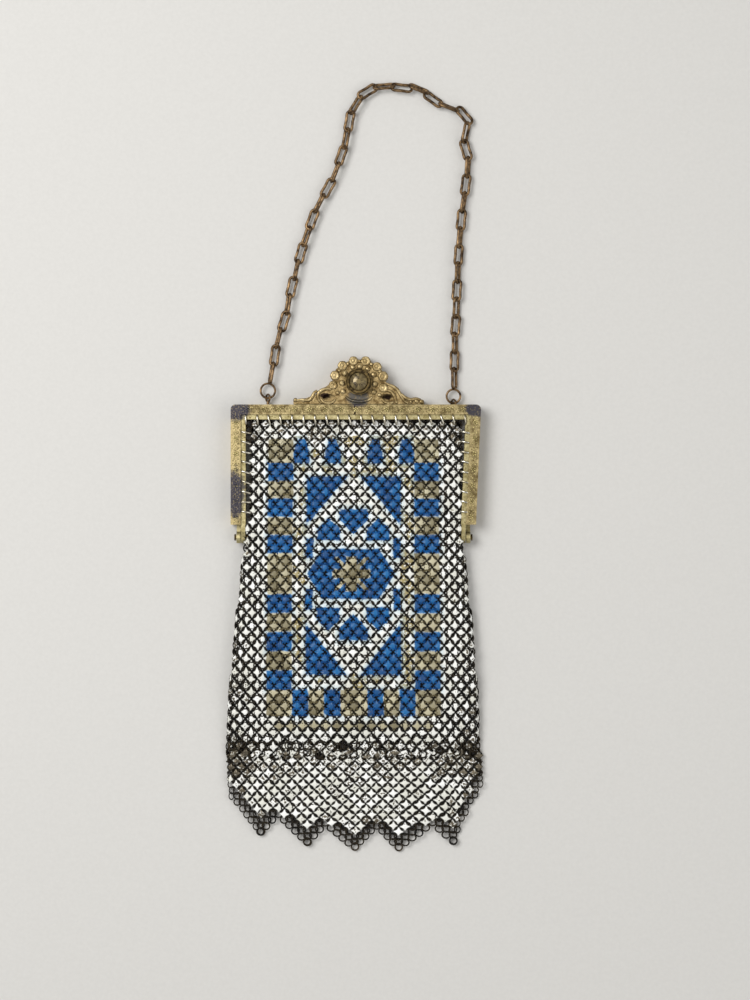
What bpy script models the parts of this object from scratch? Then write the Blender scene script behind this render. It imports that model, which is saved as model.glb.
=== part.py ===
"""Metal-mesh evening bag on a hinged inverted-U frame, lying on its back.

Metres, +Z up. X runs across the bag, +Y from the bag towards its chain. The origin is the middle of the bag's
outline (without the chain) on the surface it lies on. The back half of the frame is at the bottom, the front
half above it, and the two halves meet on the hinge plane.
"""
import math

import bmesh
import bpy
from mathutils import Matrix, Vector

MM = 0.001
CLEAR = 0.3 * MM          # between two pieces that touch on the real bag
RUNNING = 0.3 * MM        # round a shaft that turns or slides

# Overall sizes, measured from the top edge of the frame
FRAME_WIDTH = 103.2 * MM
BAG_DROP = 185.2 * MM     # down to the lowest drop ring
CREST_HEIGHT = 19.9 * MM  # up to the top of the crest
SEAM_DROP = 143.3 * MM    # down to the seam between pouch and skirt
HINGE_DROP = 54.8 * MM    # down to the hinge axis
LEG_LENGTH = 49.5 * MM    # down to the foot of the embossed legs

# Frame section
HALF_THICKNESS = 3.85 * MM
COVER_WIDTH = 4.1 * MM
COVER_WALL = 0.5 * MM
CORNER_RADIUS = 2.0 * MM
RIGHT_LEAN = 2.1 * MM     # how far the foot of the right leg leans inwards
RAIL_REACH = 2.0 * MM     # plain strip that shows inside the cover
RAIL_THICKNESS = 0.8 * MM
RAIL_DEPTH = 1.0 * MM     # its face below the cover's face
RAIL_TUCK = 1.2 * MM      # its edge inside the cover's outer edge

# Hinge
EAR_RADIUS = 2.4 * MM
EAR_THICKNESS = 1.7 * MM
EAR_NECK = 10.0 * MM
RIVET_RADIUS = 0.8 * MM
RIVET_HEAD_RADIUS = 1.35 * MM
RIVET_HEAD = 0.6 * MM

# Mesh
MESH_THICKNESS = 1.0 * MM
MESH_MARGIN = 1.0 * MM    # dark gap between the plain strip and the mesh
BACK_PANEL_LIFT = 0.2 * MM
POUCH_RIM_GAP = 5.0 * MM  # from the hinge axis down to the pouch's rim
POUCH_RIM_OVER = 0.7 * MM  # the pouch's rim beyond the panel's edge, each side
POUCH_FLARE = 7.0 * MM    # how much wider the pouch gets at the seam, each side
SEAM_THICKNESS = 2.6 * MM
SKIRT_FLARE = 0.8 * MM    # the skirt's widest line beyond the seam, each side
SKIRT_WIDEST = 16.3 * MM  # from the seam down to the skirt's widest line
SKIRT_VALLEY = 31.0 * MM  # from the seam down to the valleys between the points
SKIRT_THICKNESS = 2.4 * MM
POINT_TIP_WIDTH = 2.6 * MM
# Each point's place as a share of the skirt's half width, and how far its drop ring stops above the lowest one
SKIRT_POINTS = ((-0.743, 6.5 * MM), (-0.383, 2.3 * MM), (-0.008, 0.2 * MM), (0.334, 0.0), (0.762, 2.7 * MM))
DROP_RING_DIAMETER = 3.7 * MM
DROP_RING_WIRE = 0.7 * MM

# Crest and clasp
CREST_X = 1.1 * MM        # crest's middle, a little off the frame's
CREST_PLATE = 1.2 * MM
CREST_STEP = 1.0 * MM     # crest's face below the frame's face
TRAY_FLOOR = 0.8 * MM
CAVITY_RADIUS = 8.4 * MM
STONE_HEIGHT = 9.4 * MM   # stone's centre above the frame's top edge
VOID_OFFSET = 12.2 * MM
VOID_WIDTH = 5.6 * MM
VOID_DEPTH = 2.6 * MM
# Each rosette round the stone: its centre from the stone's centre, and its radius
ROSETTES = tuple((x * MM, y * MM, r * MM) for x, y, r in (
    (-2.1, 8.6, 1.9), (2.9, 8.5, 2.0), (-6.6, 6.6, 2.0), (7.6, 6.2, 1.9), (-9.7, 2.6, 2.0),
    (10.1, 2.2, 2.1), (-10.5, -1.4, 1.8), (10.2, -2.5, 1.9)))
BEZEL_RADIUS = 4.75 * MM
BEZEL_WALL = 0.8 * MM
BEZEL_HEIGHT = 1.9 * MM
BEZEL_FLOOR = 0.5 * MM
COLLAR_WALL = 0.4 * MM
COLLAR_HEIGHT = 2.1 * MM
STONE_CROWN = 1.5 * MM
STEM_RADIUS = 1.2 * MM
BUTTON_TRAVEL = 1.0 * MM
TONGUE_THICKNESS = 0.5 * MM
TONGUE_WIDTH = 3.0 * MM
TONGUE_ARM = 6.1 * MM     # from its pivot to the stem
TONGUE_LENGTH = 10.6 * MM
TONGUE_TAIL = 0.4 * MM
NOSE_THICKNESS = 0.8 * MM
NOSE_HEIGHT = 1.2 * MM

# Chain
RING_WIRE = 0.9 * MM
LEFT_RING_DIAMETER = 6.9 * MM
RIGHT_RING_DIAMETER = 6.6 * MM
LEFT_EYE = (-36.5 * MM, 2.9 * MM)   # across the bag, and above the frame's top edge
RIGHT_EYE = (40.4 * MM, 0.8 * MM)
EYE_RADIUS = 1.5 * MM
EYE_WIRE = 0.8 * MM
EYE_TWIST = math.radians(35)
CHAIN_Z = 1.95 * MM
CHAIN_DIAMETER = 3.6 * MM
CHAIN_STEP = 4.0 * MM
# The way the chain lies, from the left ring round to the right ring, in millimetres from the frame's top edge
CHAIN_ROUTE = (
    (-35.7, 9.8), (-34.4, 16.4), (-32.0, 28.4), (-29.2, 36.7), (-27.5, 45.0), (-25.5, 53.2),
    (-23.0, 62.5), (-19.3, 73.5), (-16.2, 81.8), (-12.2, 88.8), (-9.2, 95.0), (-6.6, 102.1),
    (-4.6, 108.4), (-3.2, 115.4), (-1.7, 121.2), (1.0, 126.0), (4.9, 130.0), (10.4, 131.9),
    (15.6, 131.8), (20.6, 131.3), (25.2, 131.3), (29.0, 129.2), (32.4, 126.3), (37.1, 124.0),
    (41.7, 122.0), (45.1, 119.7), (45.9, 115.4), (44.9, 109.0), (46.4, 102.0), (45.9, 95.4),
    (45.0, 87.4), (43.8, 78.4), (42.8, 67.4), (42.4, 59.4), (41.8, 47.4), (41.4, 35.4),
    (40.9, 24.4), (40.8, 15.4), (40.6, 7.4),
)

FRAME_TOP = (BAG_DROP - CREST_HEIGHT) / 2
PANEL_INSET = COVER_WIDTH + RAIL_REACH + MESH_MARGIN
RIM_HALF_WIDTH = FRAME_WIDTH / 2 - PANEL_INSET + POUCH_RIM_OVER
SEAM_HALF_WIDTH = RIM_HALF_WIDTH + POUCH_FLARE
SKIRT_HALF_WIDTH = SEAM_HALF_WIDTH + SKIRT_FLARE
HINGE_Y = FRAME_TOP - HINGE_DROP
HINGE_Z = HALF_THICKNESS + CLEAR / 2
FRONT_LOW = HALF_THICKNESS + CLEAR
FRONT_HIGH = FRONT_LOW + HALF_THICKNESS
LEG_FOOT = FRAME_TOP - LEG_LENGTH
SEAM_Y = FRAME_TOP - SEAM_DROP
STONE_Y = FRAME_TOP + STONE_HEIGHT
CREST_BASE = FRAME_TOP + CLEAR
CREST_FACE = FRONT_HIGH - CREST_STEP
CREST_UNDER = CREST_FACE - CREST_PLATE
BEZEL_Z = CREST_FACE + CLEAR + BUTTON_TRAVEL + RUNNING
STEM_BOTTOM = HALF_THICKNESS - CLEAR / 6
TONGUE_TOP = STEM_BOTTOM - CLEAR
TONGUE_Z = TONGUE_TOP - TONGUE_THICKNESS / 2
PIVOT_Y = STONE_Y - TONGUE_ARM

parts = None
cutters = None


def start_scene():
    """Empty the scene and make one collection for the bag and one for its cutters."""
    global parts, cutters
    for old in list(bpy.data.objects):
        bpy.data.objects.remove(old, do_unlink=True)
    parts = bpy.data.collections.new("evening_bag")
    cutters = bpy.data.collections.new("cutters")
    for collection in (parts, cutters):
        bpy.context.scene.collection.children.link(collection)


def finish_material(name, colour, metallic, roughness):
    """One Principled finish for one sub-part."""
    material = bpy.data.materials.new(name)
    material.use_nodes = True
    shader = material.node_tree.nodes["Principled BSDF"]
    shader.inputs["Base Color"].default_value = (*colour, 1)
    shader.inputs["Metallic"].default_value = metallic
    shader.inputs["Roughness"].default_value = roughness
    return material


GILT = ((0.56, 0.46, 0.20), 1.0, 0.38)
OLD_BRASS = ((0.34, 0.25, 0.12), 1.0, 0.45)
DARK_BRASS = ((0.17, 0.11, 0.06), 1.0, 0.5)
SILVER_WIRE = ((0.42, 0.40, 0.36), 1.0, 0.35)
STEEL = ((0.45, 0.45, 0.46), 1.0, 0.3)
ENAMEL_MESH = ((0.78, 0.78, 0.74), 0.2, 0.4)
PASTE = ((0.45, 0.44, 0.34), 0.1, 0.08)


def place(piece, finish, collection=None):
    """Put a piece into its collection with its own material."""
    for old in list(piece.users_collection):
        old.objects.unlink(piece)
    (collection or parts).objects.link(piece)
    if finish:
        piece.data.materials.clear()
        piece.data.materials.append(finish_material(piece.name + "_finish", *finish))
    return piece


def as_cutter(piece):
    """Mark a piece as a cutting or joining tool that is not part of the bag."""
    place(piece, None, cutters)
    piece.hide_render = True
    piece.display_type = "WIRE"
    return piece


def boolean(piece, tool, operation="DIFFERENCE"):
    """Cut a tool out of a piece, or join it on."""
    modifier = piece.modifiers.new(tool.name, "BOOLEAN")
    modifier.operation = operation
    modifier.object = tool


def mesh_object(name, build):
    """A mesh object at the origin whose bmesh is filled by the function build."""
    work = bmesh.new()
    build(work)
    mesh = bpy.data.meshes.new(name)
    work.to_mesh(mesh)
    work.free()
    piece = bpy.data.objects.new(name, mesh)
    bpy.context.scene.collection.objects.link(piece)
    return piece


def box(name, low, high):
    """A box between two corners."""
    low, high = Vector(low), Vector(high)
    size = high - low
    matrix = Matrix.Translation((low + high) / 2) @ Matrix.Diagonal((*size, 1))
    return mesh_object(name, lambda work: bmesh.ops.create_cube(work, size=1, matrix=matrix))


def cylinder(name, radius, low, high, centre, axis="Z", top_radius=None, sides=32):
    """A cylinder or cone frustum along an axis, from low to high on it, round centre (the other two)."""
    middle, depth = (low + high) / 2, high - low
    if axis == "Z":
        matrix = Matrix.Translation((centre[0], centre[1], middle))
    else:
        matrix = Matrix.Translation((middle, centre[0], centre[1])) @ Matrix.Rotation(math.pi / 2, 4, "Y")

    def build(work):
        bmesh.ops.create_cone(work, cap_ends=True, segments=sides, radius1=radius,
                              radius2=radius if top_radius is None else top_radius, depth=depth, matrix=matrix)
    piece = mesh_object(name, build)
    piece.data.shade_smooth()
    piece.data.set_sharp_from_angle(angle=math.radians(40))
    return piece


def torus(name, ring_radius, wire_radius, centre, rotation=Matrix(), ring_sides=28, wire_sides=8):
    """A round wire ring lying flat at centre, turned by rotation first."""
    bpy.ops.mesh.primitive_torus_add(major_segments=ring_sides, minor_segments=wire_sides,
                                     major_radius=ring_radius, minor_radius=wire_radius)
    piece = bpy.context.object
    piece.name = name
    piece.data.transform(Matrix.Translation(centre) @ rotation)
    piece.data.shade_smooth()
    return piece


def plate(name, outline, low, high):
    """A flat outline given a thickness from low to high, as a closed mesh."""
    curve = bpy.data.curves.new(name, "CURVE")
    curve.dimensions = "2D"
    curve.fill_mode = "BOTH"
    curve.extrude = (high - low) / 2
    spline = curve.splines.new("POLY")
    spline.points.add(len(outline) - 1)
    for point, (x, y) in zip(spline.points, outline):
        point.co = (x, y, 0, 1)
    spline.use_cyclic_u = True
    guide = bpy.data.objects.new(name + "_outline", curve)
    bpy.context.scene.collection.objects.link(guide)
    bpy.context.view_layer.update()
    mesh = bpy.data.meshes.new_from_object(guide.evaluated_get(bpy.context.evaluated_depsgraph_get()))
    bpy.data.objects.remove(guide, do_unlink=True)
    work = bmesh.new()
    work.from_mesh(mesh)
    bmesh.ops.remove_doubles(work, verts=work.verts, dist=0.001 * MM)
    bmesh.ops.recalc_face_normals(work, faces=work.faces)
    work.to_mesh(mesh)
    work.free()
    mesh.transform(Matrix.Translation((0, 0, (low + high) / 2)))
    mesh.name = name
    piece = bpy.data.objects.new(name, mesh)
    bpy.context.scene.collection.objects.link(piece)
    return piece


def arc(centre, radius, start, end, steps):
    """Points along an arc, angles in degrees."""
    angles = [math.radians(start + (end - start) * step / steps) for step in range(steps + 1)]
    return [(centre[0] + radius * math.cos(a), centre[1] + radius * math.sin(a)) for a in angles]


def turned(name, profile, centre, sides=36):
    """A turned solid: the profile (radius, z) runs down the outer side and closes on the axis or on itself."""
    mesh = bpy.data.meshes.new(name)
    closed = profile + [profile[0]] if profile[0][0] > 0 else profile
    mesh.from_pydata([(r, 0, z) for r, z in closed], [(i, i + 1) for i in range(len(closed) - 1)], [])
    piece = bpy.data.objects.new(name, mesh)
    bpy.context.scene.collection.objects.link(piece)
    piece.location = centre
    screw = piece.modifiers.new("turn", "SCREW")
    screw.steps = screw.render_steps = sides
    screw.use_merge_vertices = True
    screw.merge_threshold = 0.001 * MM
    return piece


def hang_on(pivot, *pieces):
    """Parent pieces to the empty on their joint's axis, where they are."""
    bpy.context.view_layer.update()
    for piece in pieces:
        piece.parent = pivot
        piece.matrix_parent_inverse = pivot.matrix_world.inverted()


def joint_axis(name, location):
    """An empty that marks a joint's axis."""
    pivot = bpy.data.objects.new(name, None)
    pivot.location = location
    pivot.empty_display_size = 5 * MM
    parts.objects.link(pivot)
    return pivot


def side_x(side, inset, y):
    """X of a line that runs inset inside the frame's outer edge, on the left (-1) or right (1) leg."""
    lean = RIGHT_LEAN * (FRAME_TOP - y) / LEG_LENGTH if side > 0 else 0
    return side * (FRAME_WIDTH / 2 - inset - lean)


def frame_line(inset, foot, radius):
    """The inverted U that runs inset inside the frame's outer edge, from the left foot to the right foot."""
    shoulder = FRAME_TOP - inset - radius
    left = arc((side_x(-1, inset, shoulder) + radius, shoulder), radius, 180, 90, 5)
    right = arc((side_x(1, inset, shoulder) - radius, shoulder), radius, 90, 0, 5)
    return [(side_x(-1, inset, foot), foot)] + left + right + [(side_x(1, inset, foot), foot)]


def u_plate(name, outer, inner, foot, low, high):
    """A flat inverted U between two insets."""
    radius = max(CORNER_RADIUS - outer, 0.4 * MM)
    outline = frame_line(outer, foot, radius) + frame_line(inner, foot, 0.4 * MM)[::-1]
    return plate(name, outline, low, high)


def frame_channel(half, low):
    """The embossed cover of one half: a channel that is open towards the mesh."""
    high = low + HALF_THICKNESS
    cover = u_plate(half + "_frame_channel", 0, COVER_WIDTH, LEG_FOOT, low, high)
    slot = u_plate(half + "_channel_slot", COVER_WALL, COVER_WIDTH + 1 * MM, LEG_FOOT - 1 * MM,
                   low + COVER_WALL, high - COVER_WALL)
    boolean(cover, as_cutter(slot))
    return place(cover, GILT)


def rail_low(half):
    """Underside of one half's plain strip."""
    if half == "front":
        return FRONT_HIGH - RAIL_DEPTH - RAIL_THICKNESS
    return RAIL_DEPTH


def ear_edges(half, side):
    """Near and far X of one half's ear: the back half's are outside the front half's."""
    meeting = side_x(side, COVER_WIDTH, LEG_FOOT)
    near = CLEAR / 2 * (1 if half == "back" else -1)
    far = near + EAR_THICKNESS * (1 if half == "back" else -1)
    return sorted((meeting + side * near, meeting + side * far))


def hinge_ear(half, side):
    """A round ear with a neck that reaches up along its leg, cut later for the rivet."""
    up = 1 if half == "front" else -1
    neck_far = up * (HALF_THICKNESS - RAIL_DEPTH + CLEAR / 2)
    neck_near = up * (HINGE_Z - HALF_THICKNESS + COVER_WALL + CLEAR)
    start = math.degrees(math.asin(neck_near / EAR_RADIUS))
    outline = arc((0, 0), EAR_RADIUS, up * 90, up * 360 + start, 20)
    outline += [(EAR_NECK, neck_near), (EAR_NECK, neck_far), (EAR_RADIUS, neck_far)]
    if up < 0:
        outline.reverse()
    low, high = ear_edges(half, side)
    ear = plate("{}_ear_{}".format(half, "right" if side > 0 else "left"), outline, low, high)
    ear.data.transform(Matrix(((0, 0, 1, 0), (1, 0, 0, HINGE_Y), (0, 1, 0, HINGE_Z), (0, 0, 0, 1))))
    return as_cutter(ear)


def mesh_rail(half):
    """The plain strip that the mesh is laced to, with a hinge ear at each foot."""
    low = rail_low(half)
    rail = u_plate(half + "_mesh_rail", RAIL_TUCK, COVER_WIDTH + RAIL_REACH, LEG_FOOT, low, low + RAIL_THICKNESS)
    for side in (-1, 1):
        boolean(rail, hinge_ear(half, side), "UNION")
    hole_radius = RIVET_RADIUS + RUNNING
    bore = cylinder(half + "_rivet_bore", hole_radius, -FRAME_WIDTH, FRAME_WIDTH, (HINGE_Y, HINGE_Z), "X", sides=20)
    boolean(rail, as_cutter(bore))
    return place(rail, OLD_BRASS)


def hinge_rivet(name, side):
    """A rivet along X through both ears of one leg, with a head at each end."""
    inner = ear_edges("front", side)
    outer = ear_edges("back", side)
    low = min(inner + outer) - CLEAR - RIVET_HEAD
    high = max(inner + outer) + CLEAR + RIVET_HEAD
    profile = [(0, high), (RIVET_HEAD_RADIUS, high), (RIVET_HEAD_RADIUS, high - RIVET_HEAD),
               (RIVET_RADIUS, high - RIVET_HEAD), (RIVET_RADIUS, low + RIVET_HEAD),
               (RIVET_HEAD_RADIUS, low + RIVET_HEAD), (RIVET_HEAD_RADIUS, low), (0, low)]
    rivet = turned(name, profile, (0, HINGE_Y, HINGE_Z), sides=20)
    rivet.rotation_euler = (0, math.pi / 2, 0)
    return place(rivet, GILT)


def mesh_panel(half, foot):
    """The flat panel of mesh inside one half of the frame."""
    outline = frame_line(PANEL_INSET, foot, 1 * MM)
    if half == "front":
        high = rail_low("front") + RAIL_THICKNESS - 0.1 * MM
        low = high - MESH_THICKNESS
    else:
        low = BACK_PANEL_LIFT
        high = low + MESH_THICKNESS
    return place(plate(half + "_mesh_panel", outline, low, high), ENAMEL_MESH)


def pouch_sections():
    """Places down the pouch, each with its half width and thickness."""
    rim = HINGE_Y - POUCH_RIM_GAP
    bottom = SEAM_Y - CLEAR
    thick = FRONT_HIGH - 1.1 * MM
    for share, fullness in ((0, 1), (0.12, 1), (0.3, 0.98), (0.48, 0.94), (0.66, 0.82), (0.84, 0.58), (1, 0)):
        widening = math.sin(share * math.pi / 2)
        half_width = RIM_HALF_WIDTH + POUCH_FLARE * widening
        yield rim + (bottom - rim) * share, half_width, SEAM_THICKNESS + (thick - SEAM_THICKNESS) * fullness


def mesh_pouch():
    """The pouch below the hinge: a flattened tube, open at the frame and closed at the seam."""
    def build(work):
        rings = []
        for y, half_width, thick in pouch_sections():
            radius = thick / 2
            right = arc((half_width - radius, radius), radius, -90, 90, 6)
            left = arc((radius - half_width, radius), radius, 90, 270, 6)
            rings.append([work.verts.new((x, y, z)) for x, z in right + left])
        for upper, lower in zip(rings, rings[1:]):
            for i in range(len(upper)):
                j = (i + 1) % len(upper)
                work.faces.new((upper[i], upper[j], lower[j], lower[i]))
        work.faces.new(rings[-1])
        bmesh.ops.recalc_face_normals(work, faces=work.faces)
    pouch = mesh_object("mesh_pouch", build)
    wall = pouch.modifiers.new("wall", "SOLIDIFY")
    wall.thickness = MESH_THICKNESS
    wall.offset = -1
    wall.use_even_offset = True
    return place(pouch, ENAMEL_MESH)


def drop_ring_places():
    """Centre of the drop ring on each point of the skirt."""
    radius = DROP_RING_DIAMETER / 2
    return [(share * SKIRT_HALF_WIDTH, FRAME_TOP - BAG_DROP + rise + radius) for share, rise in SKIRT_POINTS]


def mesh_skirt():
    """The flat skirt below the seam, with five points."""
    top = SEAM_Y - 2 * CLEAR
    widest = SEAM_Y - SKIRT_WIDEST
    valley = SEAM_Y - SKIRT_VALLEY
    edge = SKIRT_HALF_WIDTH
    outline = [(SEAM_HALF_WIDTH, top), (-SEAM_HALF_WIDTH, top), (-edge, widest), (-edge + 2 * MM, valley)]
    tips = drop_ring_places()
    for number, (x, y) in enumerate(tips):
        tip = y + DROP_RING_DIAMETER / 2 + CLEAR
        outline += [(x - POINT_TIP_WIDTH / 2, tip), (x + POINT_TIP_WIDTH / 2, tip)]
        if number + 1 < len(tips):
            outline.append(((x + tips[number + 1][0]) / 2, valley))
    outline += [(edge - 2 * MM, valley), (edge, widest)]
    return place(plate("mesh_skirt", outline, 0, SKIRT_THICKNESS), ENAMEL_MESH)


def drop_rings():
    """One plain ring on each point of the skirt."""
    wire = DROP_RING_WIRE / 2
    for number, (x, y) in enumerate(drop_ring_places(), 1):
        ring = torus("drop_ring_{}".format(number), DROP_RING_DIAMETER / 2 - wire, wire, (x, y, 2 * wire),
                     ring_sides=18, wire_sides=6)
        place(ring, DARK_BRASS)


def crest_outline(base):
    """The arch of the crest, from its right foot over the top to its left foot, inside its rosettes."""
    right = [(26.9, 0), (26.9, 1.5), (21.5, 2.4), (18.0, 3.7), (15.6, 5.6), (13.0, 7.4), (10.9, 9.3),
             (10.4, 12.0), (9.3, 14.3), (6.9, 16.4), (3.6, 17.9)]
    scale = (CREST_HEIGHT - CLEAR) / 19.6
    top = [(0, 18.3)]
    left = [(-x, y) for x, y in reversed(right)]
    return [(CREST_X + x * MM, base + y * scale) for x, y in right + top + left]


def add_rosettes(crest, low, high):
    """Join the discs of the rosettes to a half of the crest."""
    for number, (x, y, radius) in enumerate(ROSETTES, 1):
        disc = cylinder("{}_rosette_{}".format(crest.name, number), radius, low, high,
                        (CREST_X + x, STONE_Y + y), sides=20)
        boolean(crest, as_cutter(disc), "UNION")


def crest_front():
    """Openwork crest of the front half: a plate with a rim, two voids and the button's bore."""
    crest = plate("crest_front", crest_outline(CREST_BASE), FRONT_LOW, CREST_FACE)
    add_rosettes(crest, FRONT_LOW, CREST_FACE)
    cavity = cylinder("front_cavity", CAVITY_RADIUS, FRONT_LOW - 1 * MM, CREST_UNDER, (CREST_X, STONE_Y), sides=40)
    boolean(crest, as_cutter(cavity))
    bore = cylinder("stem_bore", STEM_RADIUS + RUNNING, CREST_UNDER - 1 * MM, CREST_FACE + 1 * MM,
                    (CREST_X, STONE_Y), sides=24)
    boolean(crest, as_cutter(bore))
    for side in (-1, 1):
        centre = (CREST_X + side * VOID_OFFSET, CREST_BASE + 1.4 * MM + VOID_DEPTH / 2)
        outline = [(centre[0] + x * VOID_WIDTH / 2, centre[1] + y * VOID_DEPTH / 2)
                   for x, y in arc((0, 0), 1, 0, 345, 23)]
        void = plate("void_right" if side > 0 else "void_left", outline, FRONT_LOW - 1 * MM, CREST_FACE + 1 * MM)
        boolean(crest, as_cutter(void))
    return place(crest, GILT)


def crest_back():
    """Plain backing plate of the crest on the back half, hollowed for the catch tongue."""
    crest = plate("crest_back", crest_outline(CREST_BASE), 0, HALF_THICKNESS)
    add_rosettes(crest, 0, HALF_THICKNESS)
    cavity = cylinder("back_cavity", CAVITY_RADIUS, TRAY_FLOOR, HALF_THICKNESS + 1 * MM, (CREST_X, STONE_Y), sides=40)
    boolean(crest, as_cutter(cavity))
    return place(crest, GILT)


def clasp_button():
    """Collar on the crest, and the bezel, stone and stem that are pressed as one."""
    centre = (CREST_X, STONE_Y, 0)
    inner = BEZEL_RADIUS + RUNNING
    low, high = CREST_FACE + CLEAR, CREST_FACE + CLEAR + COLLAR_HEIGHT
    collar = turned("button_collar", [(inner + COLLAR_WALL, high), (inner + COLLAR_WALL, low),
                                      (inner, low), (inner, high)], centre)
    place(collar, GILT)
    top, cup = BEZEL_Z + BEZEL_HEIGHT, BEZEL_RADIUS - BEZEL_WALL
    floor = BEZEL_Z + BEZEL_FLOOR
    bezel = turned("stone_bezel", [(0, floor), (cup, floor), (cup, top), (BEZEL_RADIUS, top),
                                   (BEZEL_RADIUS, BEZEL_Z), (0, BEZEL_Z)], centre)
    place(bezel, OLD_BRASS)
    stone_low = floor + CLEAR
    stone = cylinder("paste_stone", cup - CLEAR, stone_low, top + STONE_CROWN / 2, (CREST_X, STONE_Y),
                     top_radius=(cup - CLEAR) * 0.6, sides=16)
    place(stone, PASTE)
    stem = cylinder("button_stem", STEM_RADIUS, STEM_BOTTOM, BEZEL_Z - CLEAR, (CREST_X, STONE_Y), sides=20)
    place(stem, STEEL)
    return collar, bezel, stone, stem


def catch():
    """Spring tongue under the button, the anchor it springs from, and the keeper it snaps behind."""
    half = TONGUE_WIDTH / 2
    end = PIVOT_Y + TONGUE_LENGTH
    tongue = box("catch_tongue", (CREST_X - half, PIVOT_Y - TONGUE_TAIL, TONGUE_TOP - TONGUE_THICKNESS),
                 (CREST_X + half, end, TONGUE_TOP))
    nose = box("catch_nose", (CREST_X - half, end - NOSE_THICKNESS, TONGUE_TOP - TONGUE_THICKNESS / 2),
               (CREST_X + half, end, TONGUE_TOP + NOSE_HEIGHT))
    boolean(tongue, as_cutter(nose), "UNION")
    place(tongue, STEEL)
    anchor_far = PIVOT_Y - TONGUE_TAIL - CLEAR
    anchor = box("catch_anchor", (CREST_X - half, anchor_far - 0.7 * MM, TRAY_FLOOR + CLEAR),
                 (CREST_X + half, anchor_far, TONGUE_TOP))
    place(anchor, STEEL)
    keeper = box("catch_keeper", (CREST_X - half, end + CLEAR, FRONT_LOW + CLEAR),
                 (CREST_X + half, end + CLEAR + NOSE_THICKNESS, CREST_UNDER - CLEAR))
    place(keeper, STEEL)
    return tongue, keeper


def chain_eye(name, x, rise, lug):
    """A small wire eye at the back half's top edge, twisted so that the ring can pass through it."""
    y = FRAME_TOP + rise
    turn = Matrix.Rotation(EYE_TWIST, 4, "Y") @ Matrix.Rotation(math.pi / 2, 4, "Y")
    eye = torus(name, EYE_RADIUS, EYE_WIRE / 2, (x, y, CHAIN_Z), turn, ring_sides=20, wire_sides=8)
    if lug:
        low = FRAME_TOP + CLEAR
        foot = cylinder(name + "_foot", EYE_WIRE * 0.75, low, y - EYE_RADIUS, (0, 0), sides=16)
        foot.data.transform(Matrix(((1, 0, 0, x), (0, 0, 1, 0), (0, -1, 0, CHAIN_Z), (0, 0, 0, 1))))
        boolean(eye, as_cutter(foot), "UNION")
    return place(eye, SILVER_WIRE)


def eye_notch(channel):
    """Room in the back half's top edge for the right eye, which stands lower than the left one."""
    x = RIGHT_EYE[0]
    half = EYE_RADIUS * math.sin(EYE_TWIST) + EYE_WIRE / 2 + CLEAR
    low = FRAME_TOP + RIGHT_EYE[1] - EYE_RADIUS - EYE_WIRE / 2 - CLEAR
    notch = box("eye_notch", (x - half, low, -1 * MM), (x + half, FRAME_TOP + 1 * MM, FRONT_LOW))
    boolean(channel, as_cutter(notch))


def chain_ring(name, eye, diameter):
    """The ring that hangs in an eye, lying away from the frame."""
    middle = diameter / 2 - RING_WIRE / 2
    ring = torus(name, middle, RING_WIRE / 2, (eye[0], FRAME_TOP + eye[1] + middle, CHAIN_Z))
    return place(ring, SILVER_WIRE)


def smooth_route(route):
    """Points at even steps along a Catmull-Rom curve through the route."""
    ends = [2 * route[0] - route[1]] + list(route) + [2 * route[-1] - route[-2]]
    fine = []
    for a, b, c, d in zip(ends, ends[1:], ends[2:], ends[3:]):
        for step in range(16):
            t = step / 16
            fine.append(0.5 * (2 * b + (c - a) * t + (2 * a - 5 * b + 4 * c - d) * t ** 2
                               + (3 * b - a - 3 * c + d) * t ** 3))
    fine.append(route[-1])
    lengths = [0.0]
    for a, b in zip(fine, fine[1:]):
        lengths.append(lengths[-1] + (b - a).length)
    count = round(lengths[-1] / CHAIN_STEP)
    points, place_now = [], 0
    for step in range(count + 1):
        wanted = lengths[-1] * step / count
        while place_now < len(fine) - 2 and lengths[place_now + 1] < wanted:
            place_now += 1
        share = (wanted - lengths[place_now]) / (lengths[place_now + 1] - lengths[place_now])
        points.append(fine[place_now].lerp(fine[place_now + 1], share))
    return points


def handle_chain():
    """The chain as one plain tube of its own width, laid in a loop above the bag."""
    route = [Vector((x * MM, FRAME_TOP + y * MM, CHAIN_Z)) for x, y in CHAIN_ROUTE]
    points = smooth_route(route)
    curve = bpy.data.curves.new("handle_chain", "CURVE")
    curve.dimensions = "3D"
    curve.bevel_depth = CHAIN_DIAMETER / 2
    curve.bevel_resolution = 2
    curve.use_fill_caps = True
    spline = curve.splines.new("POLY")
    spline.points.add(len(points) - 1)
    for point, position in zip(spline.points, points):
        point.co = (*position, 1)
    chain = bpy.data.objects.new("handle_chain", curve)
    bpy.context.scene.collection.objects.link(chain)
    return place(chain, DARK_BRASS)


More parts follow.
